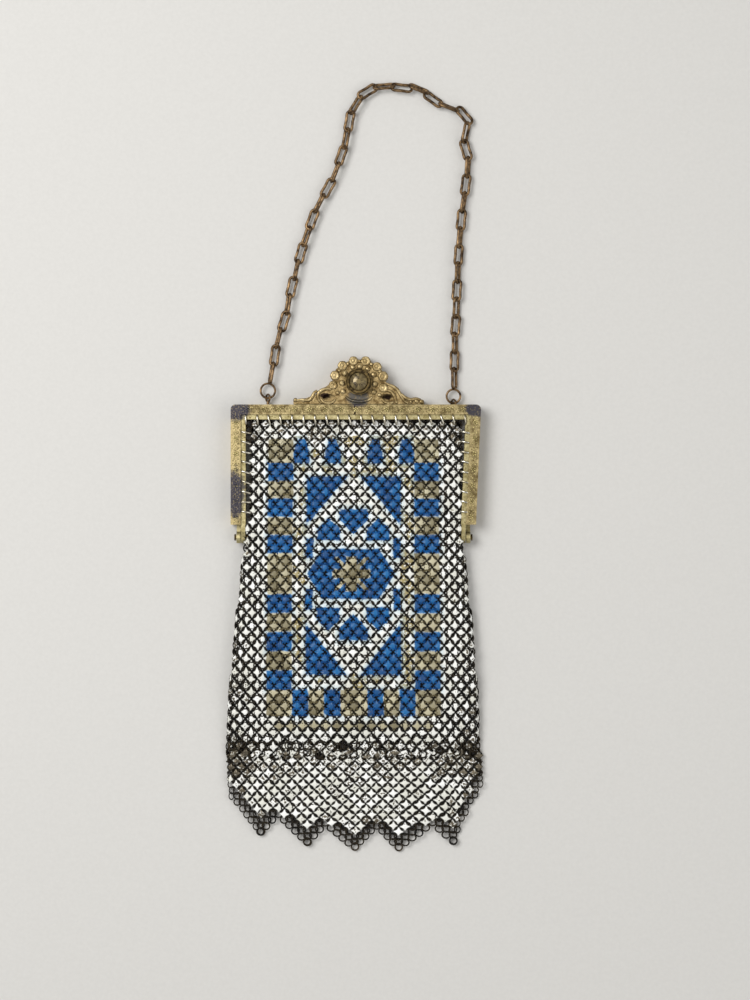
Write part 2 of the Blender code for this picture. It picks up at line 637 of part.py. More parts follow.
def build_bag():
    start_scene()
    front_axis = joint_axis("front_hinge_axis", (0, HINGE_Y, HINGE_Z))
    button_axis = joint_axis("button_axis", (CREST_X, STONE_Y, BEZEL_Z))
    tongue_axis = joint_axis("tongue_axis", (CREST_X, PIVOT_Y, TONGUE_Z))
    chain_axis = joint_axis("chain_axis", (LEFT_EYE[0], FRAME_TOP + LEFT_EYE[1], CHAIN_Z))

    back_channel = frame_channel("back", 0)
    eye_notch(back_channel)
    mesh_rail("back")
    hinge_rivet("hinge_rivet_left", -1)
    hinge_rivet("hinge_rivet_right", 1)
    crest_back()
    chain_eye("chain_eye_left", *LEFT_EYE, lug=True)
    chain_eye("chain_eye_right", *RIGHT_EYE, lug=False)
    mesh_panel("back", HINGE_Y - POUCH_RIM_GAP + CLEAR)
    mesh_pouch()
    mesh_skirt()
    drop_rings()

    front = [frame_channel("front", FRONT_LOW), mesh_rail("front"), crest_front(),
             mesh_panel("front", HINGE_Y + 1.5 * MM)]
    collar, bezel, stone, stem = clasp_button()
    tongue, keeper = catch()
    hang_on(front_axis, *front, collar, keeper, button_axis)
    hang_on(button_axis, bezel, stone, stem)
    hang_on(tongue_axis, tongue)
    hang_on(chain_axis, chain_ring("chain_ring_left", LEFT_EYE, LEFT_RING_DIAMETER),
            chain_ring("chain_ring_right", RIGHT_EYE, RIGHT_RING_DIAMETER), handle_chain())


build_bag()
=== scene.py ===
# %% [markdown]
# # An evening bag of enamelled metal mesh
# The bag has a stamped and gilt frame, a stone-set push clasp, a front and a back of small
# enamelled tiles held by wire rings, a fringed skirt and a link chain. The working parts come
# ready made in a fixed frame, in metres, with the hinge, the clasp and the chain already jointed.
# These cells build the looks around them: every tile, ring, link and stamped flower.

# %% Load the frame and keep its box
import math

import bmesh
import bpy
import numpy as np
from mathutils import Matrix, Vector


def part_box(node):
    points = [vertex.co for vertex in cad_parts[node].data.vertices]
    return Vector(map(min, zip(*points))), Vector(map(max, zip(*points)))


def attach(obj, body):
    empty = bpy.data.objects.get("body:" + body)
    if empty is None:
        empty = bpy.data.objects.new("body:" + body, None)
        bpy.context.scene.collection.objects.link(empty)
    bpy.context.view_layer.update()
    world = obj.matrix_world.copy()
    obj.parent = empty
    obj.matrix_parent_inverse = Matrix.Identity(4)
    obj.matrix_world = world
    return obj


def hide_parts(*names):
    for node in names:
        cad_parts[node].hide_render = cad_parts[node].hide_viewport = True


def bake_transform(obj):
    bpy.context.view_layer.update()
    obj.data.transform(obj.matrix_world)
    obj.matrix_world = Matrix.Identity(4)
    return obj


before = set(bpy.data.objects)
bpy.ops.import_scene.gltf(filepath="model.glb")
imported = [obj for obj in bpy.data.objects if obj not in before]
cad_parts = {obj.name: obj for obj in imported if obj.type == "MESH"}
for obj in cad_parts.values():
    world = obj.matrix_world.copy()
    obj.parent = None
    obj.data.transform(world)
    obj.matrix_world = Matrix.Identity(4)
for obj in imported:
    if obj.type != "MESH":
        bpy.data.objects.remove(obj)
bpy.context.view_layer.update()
MM = 0.001

# %% [markdown]
# The sizes below are those of the frame. The frame's top edge, the hinge line and the seam are
# read from the loaded pieces, so the looks stay on them.

# %% Places on the bag
def middle_of(name):
    """The middle of a ready-made piece."""
    return [(low + high) / 2 for low, high in zip(*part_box(name))]


low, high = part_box("front_frame_channel")
LEG_FOOT, FRAME_HALF, FRAME_TOP, FRONT_FACE = low[1], high[0], high[1], high[2]
HINGE_Y, HINGE_Z = middle_of("hinge_rivet_left")[1:]
POUCH_LOW, POUCH_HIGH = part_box("mesh_pouch")
SEAM_Y = POUCH_LOW[1]
CREST_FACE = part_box("crest_front")[1][2]
STONE_LOW, STONE_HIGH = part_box("paste_stone")
STONE = Vector((*middle_of("paste_stone")[:2], STONE_LOW[2]))
print("frame:", LEG_FOOT, "to", FRAME_TOP, "half", FRAME_HALF, "face", FRONT_FACE, "hinge", HINGE_Y, HINGE_Z)
print("pouch", POUCH_LOW, POUCH_HIGH, "crest", CREST_FACE, "stone", STONE)

# %% [markdown]
# The bag lies flat and is looked at from straight above. A long lens keeps its sides parallel.

# %% Camera
VIEW_HEIGHT = 414.4 * MM   # how much of the ground the view covers, from its top to its bottom
VIEW_MIDDLE = (7.87 * MM, 43.3 * MM)
LEVEL_Z = 2 * MM           # the level at which the view covers just that much
LENS, SENSOR = 87, 36
camera_data = bpy.data.cameras.new("camera")
camera_data.sensor_width = SENSOR
camera_data.lens = LENS
camera_data.clip_start = 0.05
camera = bpy.data.objects.new("camera", camera_data)
bpy.context.scene.collection.objects.link(camera)
camera.location = (*VIEW_MIDDLE, LEVEL_Z + VIEW_HEIGHT * LENS / SENSOR)
bpy.context.scene.camera = camera
print("camera height", round(camera.location.z, 3))

# %% [markdown]
# A few helpers serve every node tree here. One turns a colour as a painter writes it into the
# linear values that a renderer works in. One adds a node, sets it up and links it. One lays coats
# of colour over each other, as a finish is built up in a workshop. The last gives a surface its
# colour, its gloss and a fine relief that follow the same grain.

# %% Colour and node helpers
def linear(code, alpha=1.0):
    """An sRGB colour such as #C9BC78 as linear red, green, blue and alpha."""
    parts = [int(code[i:i + 2], 16) / 255 for i in (1, 3, 5)]
    return tuple(p / 12.92 if p <= 0.04045 else ((p + 0.055) / 1.055) ** 2.4 for p in parts) + (alpha,)


def add(tree, kind, inputs=None, **settings):
    """Add a node, set what it is told, and fill its inputs with values, sockets or whole nodes.
    A whole node stands for its first output."""
    node = tree.nodes.new(kind)
    for name, value in settings.items():
        setattr(node, name, value)
    for key, value in (inputs or {}).items():
        if isinstance(value, bpy.types.Node):
            value = value.outputs[0]
        if isinstance(value, bpy.types.NodeSocket):
            tree.links.new(value, node.inputs[key])
        else:
            node.inputs[key].default_value = value
    return node


def new_material(name):
    """An empty material with its shader, and the object coordinates its patterns read."""
    material = bpy.data.materials.new(name)
    material.use_nodes = True
    tree = material.node_tree
    tree.nodes.clear()
    shader = add(tree, "ShaderNodeBsdfPrincipled")
    add(tree, "ShaderNodeOutputMaterial", {"Surface": shader})
    where = add(tree, "ShaderNodeTexCoord").outputs["Object"]
    return material, tree, shader, where


def coats(tree, colour, *layers):
    """Lays coats over a ground. Each coat is its share, from 0 to 1, and its colour."""
    for share, coat in layers:
        colour, coat = (linear(c) if isinstance(c, str) else c for c in (colour, coat))
        colour = add(tree, "ShaderNodeMix", {0: share, 6: colour, 7: coat}, data_type="RGBA").outputs[2]
    return colour


def set_surface(tree, shader, colour, grain, rough, relief, strength=0.5):
    """Links the colour, and a roughness and a relief that follow the grain."""
    tree.links.new(colour, shader.inputs["Base Color"])
    gloss = add(tree, "ShaderNodeMapRange", {"Value": grain, "To Min": rough[0], "To Max": rough[1]})
    tree.links.new(gloss.outputs[0], shader.inputs["Roughness"])
    bump = add(tree, "ShaderNodeBump", {"Height": grain, "Distance": relief, "Strength": strength})
    tree.links.new(bump.outputs[0], shader.inputs["Normal"])


print("white enamel in linear light:", [round(v, 3) for v in linear("#F0F0EC")])

# %% [markdown]
# The gilding of the frame is a thin gold-coloured wash over stamped brass. It is soft and a little
# matt, with painted shade in the hollows of the stamped relief, and it has worn through to a grey,
# oxidised metal at the corners and on the left leg; the left leg is also painted lighter, as lit from
# the left. Fine noise makes the brushed grain, coarser noise the cloudy tone, and the worn places are
# spheres of influence round points on the frame.

# %% Gilt stamped brass
# Each spot is its middle and its radius in millimetres, and how much it is squeezed along each axis.
WORN_SPOTS = (((-49.5, 80.5, 8), 4.6, (0.8, 1, 0.3)), ((-49.6, 46.0, 8), 4.2, (1, 0.42, 0.3)),
              ((50.2, 80.8, 8), 3.6, (0.7, 1, 0.3)), ((1.0, 85.0, 7), 3.4, (0.75, 1, 0.3)))
FRAME_SPOTS, CREST_SPOT = WORN_SPOTS[:3], WORN_SPOTS[3:]
SCROLL_EYES = (((-12.4, 86.3, 6.8), 1.5, (0.6, 1.2, 0.3)), ((12.9, 85.7, 6.8), 1.5, (0.6, 1.2, 0.3)))


def near_spots(tree, where, noise, spots):
    """How near a point is to any of the spots, with a ragged edge, from 0 to 1."""
    total = 0.0
    for centre, radius, squeeze in spots:
        away = add(tree, "ShaderNodeVectorMath", {0: where, 1: tuple(c * MM for c in centre)},
                   operation="SUBTRACT")
        away = add(tree, "ShaderNodeVectorMath", {0: away, 1: squeeze}, operation="MULTIPLY")
        away = add(tree, "ShaderNodeVectorMath", {0: away}, operation="LENGTH").outputs["Value"]
        ragged = add(tree, "ShaderNodeMath", {0: noise, 1: 0.9 * radius * MM, 2: away},
                     operation="MULTIPLY_ADD")
        near = add(tree, "ShaderNodeMapRange", {
            "Value": ragged, "From Min": 1.55 * radius * MM, "From Max": 1.25 * radius * MM})
        total = add(tree, "ShaderNodeMath", {0: total, 1: near}, operation="MAXIMUM")
    return total


def gilt(name, light, dark, worn, relief, spots=WORN_SPOTS, hollow=None, cracked=False, pierced=None):
    """Gilt brass, with the depth of its grain in metres and its worn spots. hollow gives two
    distances from the hinge's plane in metres: full painted shade of the hollows up to the first, none past
    the second."""
    material, tree, shader, where = new_material(name)
    cloud = add(tree, "ShaderNodeTexNoise", {
        "Vector": where, "Scale": 420.0, "Detail": 4.0, "Roughness": 0.65}).outputs["Fac"]
    grain = add(tree, "ShaderNodeTexNoise", {"Vector": where, "Scale": 1500.0, "Detail": 3.0}).outputs["Fac"]
    x, _, z = add(tree, "ShaderNodeSeparateXYZ", {0: where}).outputs
    tone = add(tree, "ShaderNodeMapRange", {"Value": cloud, "From Min": 0.38, "From Max": 0.62})
    left_leg_lit = add(tree, "ShaderNodeMapRange", {   # the left leg is painted brighter, as lit from the left
        "Value": x, "From Min": -46 * MM, "From Max": -50 * MM, "To Max": 0.85})
    tone = add(tree, "ShaderNodeMath", {0: tone, 1: left_leg_lit}, operation="ADD", use_clamp=True)
    fleck = add(tree, "ShaderNodeMapRange", {"Value": grain, "From Min": 0.55, "From Max": 0.72})
    colour = coats(tree, dark, (tone, light), (fleck, "#6A5830"))
    # Painted shade: the low parts of the relief, near the plane it stands on, are darkened for the shade in
    # its hollows.
    if hollow:
        level = add(tree, "ShaderNodeMath", {0: z, 1: HINGE_Z}, operation="SUBTRACT")
        level = add(tree, "ShaderNodeMath", {0: level}, operation="ABSOLUTE")
        painted_hollow_shade = add(tree, "ShaderNodeMapRange", {"Value": level, "From Min": hollow[1], "From Max": hollow[0]})
        colour = coats(tree, colour, (painted_hollow_shade, "#4A3A20"))
    if pierced:   # the open eyes of the two large scrolls are in shade
        colour = coats(tree, colour, (near_spots(tree, where, cloud, pierced), "#2A1C12"))
    if cracked:   # a thin split runs down from the top edge of the bar, a little left of the middle
        path = add(tree, "ShaderNodeMath", {0: cloud, 1: -1.2 * MM, 2: x}, operation="MULTIPLY_ADD")
        split = add(tree, "ShaderNodeMath", {0: path, 1: -1.1 * MM, 2: 0.38 * MM}, operation="COMPARE")
        colour = coats(tree, colour, (split, "#2E2416"))
    gone = add(tree, "ShaderNodeMapRange", {   # specks of gilding are left in the worn spots
        "Value": grain, "From Min": 0.34, "From Max": 0.46, "To Min": 0.55})
    worn_here = near_spots(tree, where, cloud, spots)
    bare = add(tree, "ShaderNodeMath", {0: worn_here, 1: gone}, operation="MULTIPLY")
    colour = coats(tree, colour, (bare, worn))
    set_surface(tree, shader, colour, grain, (0.34, 0.62), relief, 0.6)
    shader.inputs["Metallic"].default_value = 0.85
    return material


GILT = gilt("gilt_stamped_brass", "#BCAA7C", "#716240", "#46434A", 0.16 * MM, cracked=True)
PALE_STRIP = gilt("plain_gilt_strip", "#C8BC8E", "#9A8D60", "#5A5652", 0.04 * MM, FRAME_SPOTS)
# The crest plate is a darker gilt than the relief laid on it: painted shade of the recess round the rosettes.
CREST_GILT = gilt("gilt_crest_brass", "#BCA474", "#6A5430", "#5E5A54", 0.12 * MM, CREST_SPOT,
                  pierced=SCROLL_EYES)
print("made", GILT.name, PALE_STRIP.name, CREST_GILT.name)

# %% [markdown]
# The chain, the eyes and the bare rings are plain brass that has gone brown with age. The tone is
# dark and warm, and rubbed places still shine. The lacing is silvered wire, and the catch inside
# the frame is blued spring steel. All are bare metal, so one function makes them.

# %% Aged brass, silver wire, spring steel
def aged_metal(name, light, dark, rough, scale=420.0, metallic=0.9):
    """Bare metal whose tone and gloss change over about a millimetre or two."""
    material, tree, shader, where = new_material(name)
    cloud = add(tree, "ShaderNodeTexNoise", {
        "Vector": where, "Scale": scale, "Detail": 5.0, "Roughness": 0.65}).outputs["Fac"]
    tone = add(tree, "ShaderNodeMapRange", {"Value": cloud, "From Min": 0.38, "From Max": 0.66})
    set_surface(tree, shader, coats(tree, dark, (tone, light)), cloud, rough, 0.05 * MM)
    shader.inputs["Metallic"].default_value = metallic
    return material


CHAIN_BRASS = aged_metal("browned_brass_wire", "#9C7F5C", "#3A2C1F", (0.6, 0.32))
RING_BRASS = aged_metal("blackened_brass_wire", "#5A4D3C", "#1E1A16", (0.7, 0.4))
BUTTON_BRASS = aged_metal("oxidised_brass_bezel", "#7E6A42", "#2E2416", (0.6, 0.35), 600.0)
SILVER_WIRE = aged_metal("bright_silvered_wire", "#F4F0E4", "#B9B09A", (0.36, 0.18), 300.0, 1.0)
SPRING_STEEL = aged_metal("blued_spring_steel", "#8C8C90", "#55555C", (0.5, 0.3))
print("made five bare metals")

# %% [markdown]
# ## The chain
# The handle is a chain of long oval links, laid in a loop above the bag, each a turn of wire
# soldered shut. The links follow one smooth curve, so the curve is made first, and a Geometry
# Nodes tree puts one link on each even step of it, turned a quarter from the one before.

# %% The chain's way
CHAIN_ROUTE = (
    (-35.7, 9.8), (-34.4, 16.4), (-32.0, 28.4), (-29.2, 36.7), (-27.5, 45.0), (-25.5, 53.2),
    (-23.0, 62.5), (-19.3, 73.5), (-16.2, 81.8), (-12.2, 88.8), (-9.2, 95.0), (-6.6, 102.1),
    (-4.6, 108.4), (-3.2, 115.4), (-1.7, 121.2), (1.0, 126.0), (4.9, 130.0), (10.4, 131.9),
    (15.6, 131.8), (20.6, 131.3), (25.2, 131.3), (29.0, 129.2), (32.4, 126.3), (37.1, 124.0),
    (41.7, 122.0), (45.1, 119.7), (45.9, 115.4), (44.9, 109.0), (46.4, 102.0), (45.9, 95.4),
    (45.0, 87.4), (43.8, 78.4), (42.8, 67.4), (42.4, 59.4), (41.8, 47.4), (41.4, 35.4),
    (40.9, 24.4), (40.8, 15.4), (40.6, 7.4),
)
CHAIN_Z = 1.95 * MM


def smooth_way(route, steps=16):
    """A Catmull-Rom curve through the route's points."""
    ends = [2 * route[0] - route[1]] + list(route) + [2 * route[-1] - route[-2]]
    way = []
    for a, b, c, d in zip(ends, ends[1:], ends[2:], ends[3:]):
        for step in range(steps):
            t = step / steps
            way.append(0.5 * (2 * b + (c - a) * t + (2 * a - 5 * b + 4 * c - d) * t ** 2
                              + (3 * b - a - 3 * c + d) * t ** 3))
    return way + [route[-1]]


def along(way, distances):
    """Points and directions at the given distances along a way."""
    lengths = np.concatenate([[0], np.cumsum([(b - a).length for a, b in zip(way, way[1:])])])
    points = np.array([tuple(p) for p in way])
    def at(s):
        return np.stack([np.interp(s, lengths, points[:, k]) for k in range(3)], 1)
    return at(distances), at(distances + 0.5 * MM) - at(distances - 0.5 * MM), lengths[-1]


chain_way = smooth_way([Vector((x * MM, FRAME_TOP + y * MM, CHAIN_Z)) for x, y in CHAIN_ROUTE])
chain_length = sum((b - a).length for a, b in zip(chain_way, chain_way[1:]))
print("chain length", round(chain_length * 1000, 1), "mm")

# %% [markdown]
# Links, tiles, rings, lacing loops and stamped flowers all repeat. One tree serves them all: it
# takes a mesh of sites, puts one blank on each with the turn and size kept there, tilts each a
# little by chance, makes the copies real and gives them their finish.

# %% Geometry Nodes tree that sets a blank on each site
def scatter_tree(name):
    """A tree that puts one blank on each site, with its own turn and size, and a small random tilt."""
    tree = bpy.data.node_groups.new(name, "GeometryNodeTree")
    for label, kind in (("Sites", "NodeSocketGeometry"), ("Blank", "NodeSocketObject"),
                        ("Finish", "NodeSocketMaterial"), ("Tilt", "NodeSocketFloat"),
                        ("Seed", "NodeSocketInt")):
        tree.interface.new_socket(label, in_out="INPUT", socket_type=kind)
    tree.interface.new_socket("Pieces", in_out="OUTPUT", socket_type="NodeSocketGeometry")
    given = add(tree, "NodeGroupInput").outputs
    blank = add(tree, "GeometryNodeObjectInfo", {"Object": given["Blank"]}, transform_space="ORIGINAL")
    turn = add(tree, "GeometryNodeInputNamedAttribute", {"Name": "turn"}, data_type="FLOAT_VECTOR")
    size = add(tree, "GeometryNodeInputNamedAttribute", {"Name": "size"}, data_type="FLOAT_VECTOR")
    placed = add(tree, "GeometryNodeInstanceOnPoints", {
        "Points": given["Sites"], "Instance": blank.outputs["Geometry"],
        "Rotation": turn.outputs["Attribute"], "Scale": size.outputs["Attribute"]})
    chance = add(tree, "FunctionNodeRandomValue", {0: (-1, -1, -1), 1: (1, 1, 1), "Seed": given["Seed"]},
                 data_type="FLOAT_VECTOR")
    tilt = add(tree, "ShaderNodeVectorMath", {0: chance, "Scale": given["Tilt"]}, operation="SCALE")
    tilted = add(tree, "GeometryNodeRotateInstances", {
        "Instances": placed, "Rotation": tilt, "Local Space": True})
    real = add(tree, "GeometryNodeRealizeInstances", {"Geometry": tilted})
    coated = add(tree, "GeometryNodeSetMaterial", {"Geometry": real, "Material": given["Finish"]})
    add(tree, "NodeGroupOutput", {"Pieces": coated})
    return tree


SCATTER = scatter_tree("blank_on_each_site")


def new_object(name, mesh):
    """Puts a mesh in the scene as a piece at the origin."""
    piece = bpy.data.objects.new(name, mesh)
    bpy.context.scene.collection.objects.link(piece)
    return piece


def finished(name, work, material=None, smooth=True):
    """Closes the work on a mesh. Its small faces are smooth, and its flat ends stay flat."""
    bmesh.ops.recalc_face_normals(work, faces=work.faces)
    mesh = bpy.data.meshes.new(name)
    work.to_mesh(mesh)
    work.free()
    for face in mesh.polygons:
        face.use_smooth = smooth and len(face.vertices) < 5
    if material:
        mesh.materials.append(material)
    return new_object(name, mesh)


def hidden_blank(piece):
    """A blank is only a pattern for a tree, so it is taken out of the scene."""
    bpy.context.scene.collection.objects.unlink(piece)
    return piece


def float_attribute(mesh, name, values):
    """Keeps one number for each point of a mesh."""
    attribute = mesh.attributes.get(name) or mesh.attributes.new(name, "FLOAT", "POINT")
    attribute.data.foreach_set("value", np.asarray(values, np.float32))


def scattered(name, blank, finish, places, turns, sizes=None, tilt=0.0, seed=1, **facts):
    """A plain mesh of one blank on each site. Each fact is kept on the mesh as an attribute."""
    mesh = bpy.data.meshes.new(name + "_sites")
    mesh.from_pydata([tuple(p) for p in places], [], [])
    if sizes is None:
        sizes = np.ones((len(places), 3))
    for label, values in (("turn", turns), ("size", sizes)):
        attribute = mesh.attributes.new(label, "FLOAT_VECTOR", "POINT")
        attribute.data.foreach_set("vector", np.asarray(values, np.float32).ravel())
    for label, values in facts.items():
        float_attribute(mesh, label, values)
    sites = new_object(name + "_sites", mesh)
    modifier = sites.modifiers.new("scatter", "NODES")
    modifier.node_group = SCATTER
    given = {item.name: item.identifier for item in SCATTER.interface.items_tree if item.in_out == "INPUT"}
    modifier[given["Blank"]] = blank
    modifier[given["Finish"]] = finish
    modifier[given["Tilt"]] = tilt
    modifier[given["Seed"]] = seed
    evaluated = sites.evaluated_get(bpy.context.evaluated_depsgraph_get())
    plain = bpy.data.meshes.new_from_object(evaluated)
    plain.name = name
    bpy.data.objects.remove(sites)
    piece = new_object(name, plain)
    print(name, len(places), "blanks,", sum(len(p.vertices) - 2 for p in plain.polygons), "triangles")
    return piece


def angles(forward, up):
    """Euler angles that turn a blank's X along forward and its Z towards up, one row each."""
    result = []
    for x, z in zip(forward, up):
        x = Vector(x).normalized()
        y = Vector(z).cross(x).normalized()
        result.append(tuple(Matrix((x, y, x.cross(y))).transposed().to_euler()))
    return np.array(result)


# %% [markdown]
# Much of the bag is bent wire. A wire is a ring of points carried along a path. The ring is kept
# from twisting by taking each turn from the one before it.

# %% A helper for bent wire
def bent_wire(name, path, radius, sides=8, closed=False):
    """A round wire along a path, in metres. Radius may be one size, or one for each point."""
    points = [Vector(p) for p in path]
    count = len(points)
    radii = [radius] * count if isinstance(radius, (int, float)) else list(radius)
    work = bmesh.new()
    loops, normal = [], None
    for i, point in enumerate(points):
        before = points[i - 1] if closed or i else point
        after = points[(i + 1) % count] if closed or i + 1 < count else point
        ahead = (after - before).normalized()
        if normal is None:
            normal = ahead.orthogonal().normalized()
        normal = (normal - ahead * normal.dot(ahead)).normalized()
        side = ahead.cross(normal)
        loops.append([work.verts.new(point + (normal * math.cos(a) + side * math.sin(a)) * radii[i])
                      for a in (2 * math.pi * k / sides for k in range(sides))])
    if closed:
        start = min(range(sides), key=lambda k: (loops[0][k].co - loops[-1][0].co).length)
        pairs = list(zip(loops, loops[1:])) + [(loops[-1], loops[0][start:] + loops[0][:start])]
    else:
        pairs = list(zip(loops, loops[1:]))
        work.faces.new(loops[0][::-1])
        work.faces.new(loops[-1])
    for a, b in pairs:
        for k in range(sides):
            work.faces.new((a[k], a[(k + 1) % sides], b[(k + 1) % sides], b[k]))
    return finished(name, work)


# %% [markdown]
# A link is one turn of wire with round ends and straight sides that are pinched a little. Its
# neighbours stand across it, and each link hangs on the inside of the one before.

# %% The chain's links
LINK_LENGTH, LINK_WIDTH, LINK_WIRE = 10.0 * MM, 4.4 * MM, 1.25 * MM
LINK_STEP = LINK_LENGTH - 2 * LINK_WIRE   # each link pulls on the next one's inside


def link_blank():
    """One long oval link, lying flat along X."""
    bend = (LINK_WIDTH - LINK_WIRE) / 2
    straight = (LINK_LENGTH - LINK_WIDTH) / 2
    path = []
    for side, start in ((1, -90), (-1, 90)):
        for k in range(8):
            a = math.radians(start + 180 * k / 7)
            path.append((side * straight + bend * math.cos(a), bend * math.sin(a), 0))
        path.append((0, side * bend * 0.9, 0))
    return hidden_blank(bent_wire("link_blank", path, LINK_WIRE / 2, sides=8, closed=True))


link = link_blank()
link_count = round(chain_length / LINK_STEP) // 2 * 2 + 1
step = chain_length / link_count
middles = (np.arange(link_count) + 0.5) * step
chance = np.random.RandomState(4)
places, ways, _ = along(chain_way, middles)
rolls = np.radians(np.where(np.arange(link_count) % 2, 12, 62) + chance.uniform(-13, 13, link_count))
ups = np.stack([-ways[:, 1] * np.sin(rolls), ways[:, 0] * np.sin(rolls),
                np.linalg.norm(ways, axis=1) * np.cos(rolls)], 1)
chain = scattered("chain_links", link, CHAIN_BRASS, places, angles(ways, ups),
                  [(step / LINK_STEP, 1, 1)] * link_count, tilt=0.05, seed=3)
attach(chain, "carry_chain")
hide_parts("handle_chain")

# %% [markdown]
# ## The mesh
# The cloth of the bag is made of small brass tiles, each a four-armed star whose arms fold down
# round four wire rings. Tiles and rings take turns on a chequered grid. The pattern is printed on
# the finished mesh in enamel, so its edges cut straight through tiles and rings. One tile blank
# and one ring blank are enough, and the grid says where each goes.

# %% The tile and ring blanks
TILE_X, TILE_Y = 4.62 * MM, 4.95 * MM   # from one tile to the next in a row, and from row to row
RING_RADIUS, RING_WIRE = 1.5 * MM, 0.68 * MM


def vertex_places(mesh):
    """Where each point of a mesh is, one row each."""
    values = np.empty(len(mesh.vertices) * 3, np.float32)
    mesh.vertices.foreach_get("co", values)
    return values.reshape(-1, 3).astype(float)


def keep_local_place(mesh, rim=None, enamel=None):
    """Keeps on the blank where each point is, in steps of the grid, for the print."""
    where = vertex_places(mesh)
    float_attribute(mesh, "across", where[:, 0] / TILE_X)
    float_attribute(mesh, "down", -where[:, 1] / TILE_Y)
    float_attribute(mesh, "rim", np.zeros(len(where)) if rim is None else rim)
    float_attribute(mesh, "face", np.ones(len(where)) if enamel is None else enamel)


def tile_blank():
    """A four-armed star, domed in its middle, with its arms bent down."""
    quarter = ((2.0, 0.26, -0.10), (1.36, 0.43, 0.28), (0.80, 0.82, 0.42), (0.43, 1.40, 0.28),
               (0.26, 2.06, -0.10))
    outline = []
    for turn in range(4):
        c, s = round(math.cos(turn * math.pi / 2)), round(math.sin(turn * math.pi / 2))
        outline += [(x * c - y * s, x * s + y * c, z) for x, y, z in quarter]
    work = bmesh.new()
    rings = []
    for scale, lift in ((0.7, 0.14), (1.0, 0.0)):
        heights = [max(z, 0.36) * (1 - scale) + z * scale + lift for _, _, z in outline]
        rings.append([work.verts.new((x * scale * MM, y * scale * MM, height * MM))
                      for (x, y, _), height in zip(outline, heights)])
    under = [work.verts.new((x * 0.98 * MM, y * 0.98 * MM, (z - 0.30) * MM)) for x, y, z in outline]
    middle = work.verts.new((0, 0, 0.60 * MM))
    count = len(outline)
    for i in range(count):
        j = (i + 1) % count
        work.faces.new((middle, rings[0][i], rings[0][j]))
        work.faces.new((rings[0][i], rings[1][i], rings[1][j], rings[0][j]))
        work.faces.new((rings[1][i], under[i], under[j], rings[1][j]))
    work.faces.new(under[::-1])
    piece = finished("tile_blank", work)
    keep_local_place(piece.data, rim=[0.7] * count + [1.0] * (2 * count) + [0.0],
                     enamel=[1.0] * (2 * count) + [0.0] * count + [1.0])
    return hidden_blank(piece)


def ring_blank():
    """One small wire ring, lying flat."""
    path = [(RING_RADIUS * math.cos(a), RING_RADIUS * math.sin(a), 0) for a in np.arange(12) * math.pi / 6]
    ring = bent_wire("ring_blank", path, RING_WIRE / 2, sides=5, closed=True)
    # The lower half of each ring is bare and takes the painted shade of the undersides.
    keep_local_place(ring.data, enamel=vertex_places(ring.data)[:, 2] > -0.15 * MM)
    return hidden_blank(ring)


tile, ring = tile_blank(), ring_blank()
print("tile faces", len(tile.data.polygons), "ring faces", len(ring.data.polygons))

# %% [markdown]
# The grid of tiles lies on the bag's own shape: flat behind the frame's opening, full and rounded
# at the sides below the hinge, and flat again at the seam. One function gives the place of any
# spot on the front or back, from its column and row.

# %% The bag's surface from column and row
MESH_MIDDLE = -1.0 * MM
SEAM_ROW = 25.2
RIM_HALF, SEAM_HALF = 45.4 * MM, (POUCH_HIGH[0] - POUCH_LOW[0]) / 2 - 0.4 * MM
SHARES = (0, 0.12, 0.3, 0.48, 0.66, 0.84, 1)   # how far down the bag, from the pouch's top to the seam
THICKNESS = (6.9, 6.9, 6.8, 6.6, 6.1, 5.1, 2.9)   # how thick the bag is there, in millimetres
FACE_IN_FRAME, BACK_FACE = 6.3 * MM, 0.62 * MM    # heights of the mesh inside the frame and of its back
SQUEEZE_FROM = 33 * MM                            # columns further out than this stand a little closer


def row_height(row):
    """How high a row lies. The rows open slowly towards the seam."""
    return FRAME_TOP - 8.05 * MM - (4.973 * row + 0.0141 * row ** 2) * MM


def out_from_middle(column, row):
    """How far out a column is, measured along the mesh. The columns open slowly towards the seam."""
    return column * (4.58 + 0.0064 * row) * MM


def down_and_half(y, more=0.0):
    """How far down the pouch a height is, from 0 to 1, and half the bag's width there."""
    share = np.clip((POUCH_HIGH[1] - y) / (POUCH_HIGH[1] - SEAM_Y), 0, 1)
    return share, RIM_HALF + (SEAM_HALF + more - RIM_HALF) * np.sin(share * math.pi / 2)


def bag_surface(column, row, side):
    """Points of the front (side 1) or back (side -1) of the bag."""
    y = row_height(row)
    share, half = down_and_half(y)
    thick = np.interp(share, SHARES, THICKNESS) * MM
    roll = np.clip((HINGE_Y - y) / (12 * MM), 0.02, 1) * (thick / 2 - 0.5 * MM)
    u = out_from_middle(np.abs(column), row)
    u = np.where(u > SQUEEZE_FROM, SQUEEZE_FROM + (u - SQUEEZE_FROM) * 0.975, u)
    flat = half - roll
    bend = np.clip((u - flat) / roll, 0, math.pi / 2)
    x = np.where(u < flat, u, flat + roll * np.sin(bend))
    drop = roll * (1 - np.cos(bend))
    swell = (0.22 * MM * np.sin(column * 0.9 + row * 0.35) * np.sin(row * 0.55 + 1)
             * np.clip((row - 9) / 4, 0, 1))
    face = np.where(y > POUCH_HIGH[1], FACE_IN_FRAME, thick - 0.6 * MM) + swell
    z = face - drop if side > 0 else BACK_FACE + drop + np.abs(swell) * 0.3
    z = z - (1.5 * MM * np.clip(1 - row / 1.6, 0, 1) ** 1.5 if side > 0 else 0)
    x = x * np.sign(column) + MESH_MIDDLE + 0.25 * MM * np.sin(row * 0.31 + 0.5) * np.cos(column * 0.2)
    return np.stack([x, y, z], -1)


POINT_X, POINT_Y = zip(*[middle_of("drop_ring_%d" % n)[:2] for n in range(1, 6)])
POINT_COLUMNS = (-8, -4, 0, 4, 8)
POINT_ROWS = (6.5, 7.5, 8.5, 8.5, 7.5)   # the row of the drop ring at the end of each point
SKIRT_FACE = 1.75 * MM


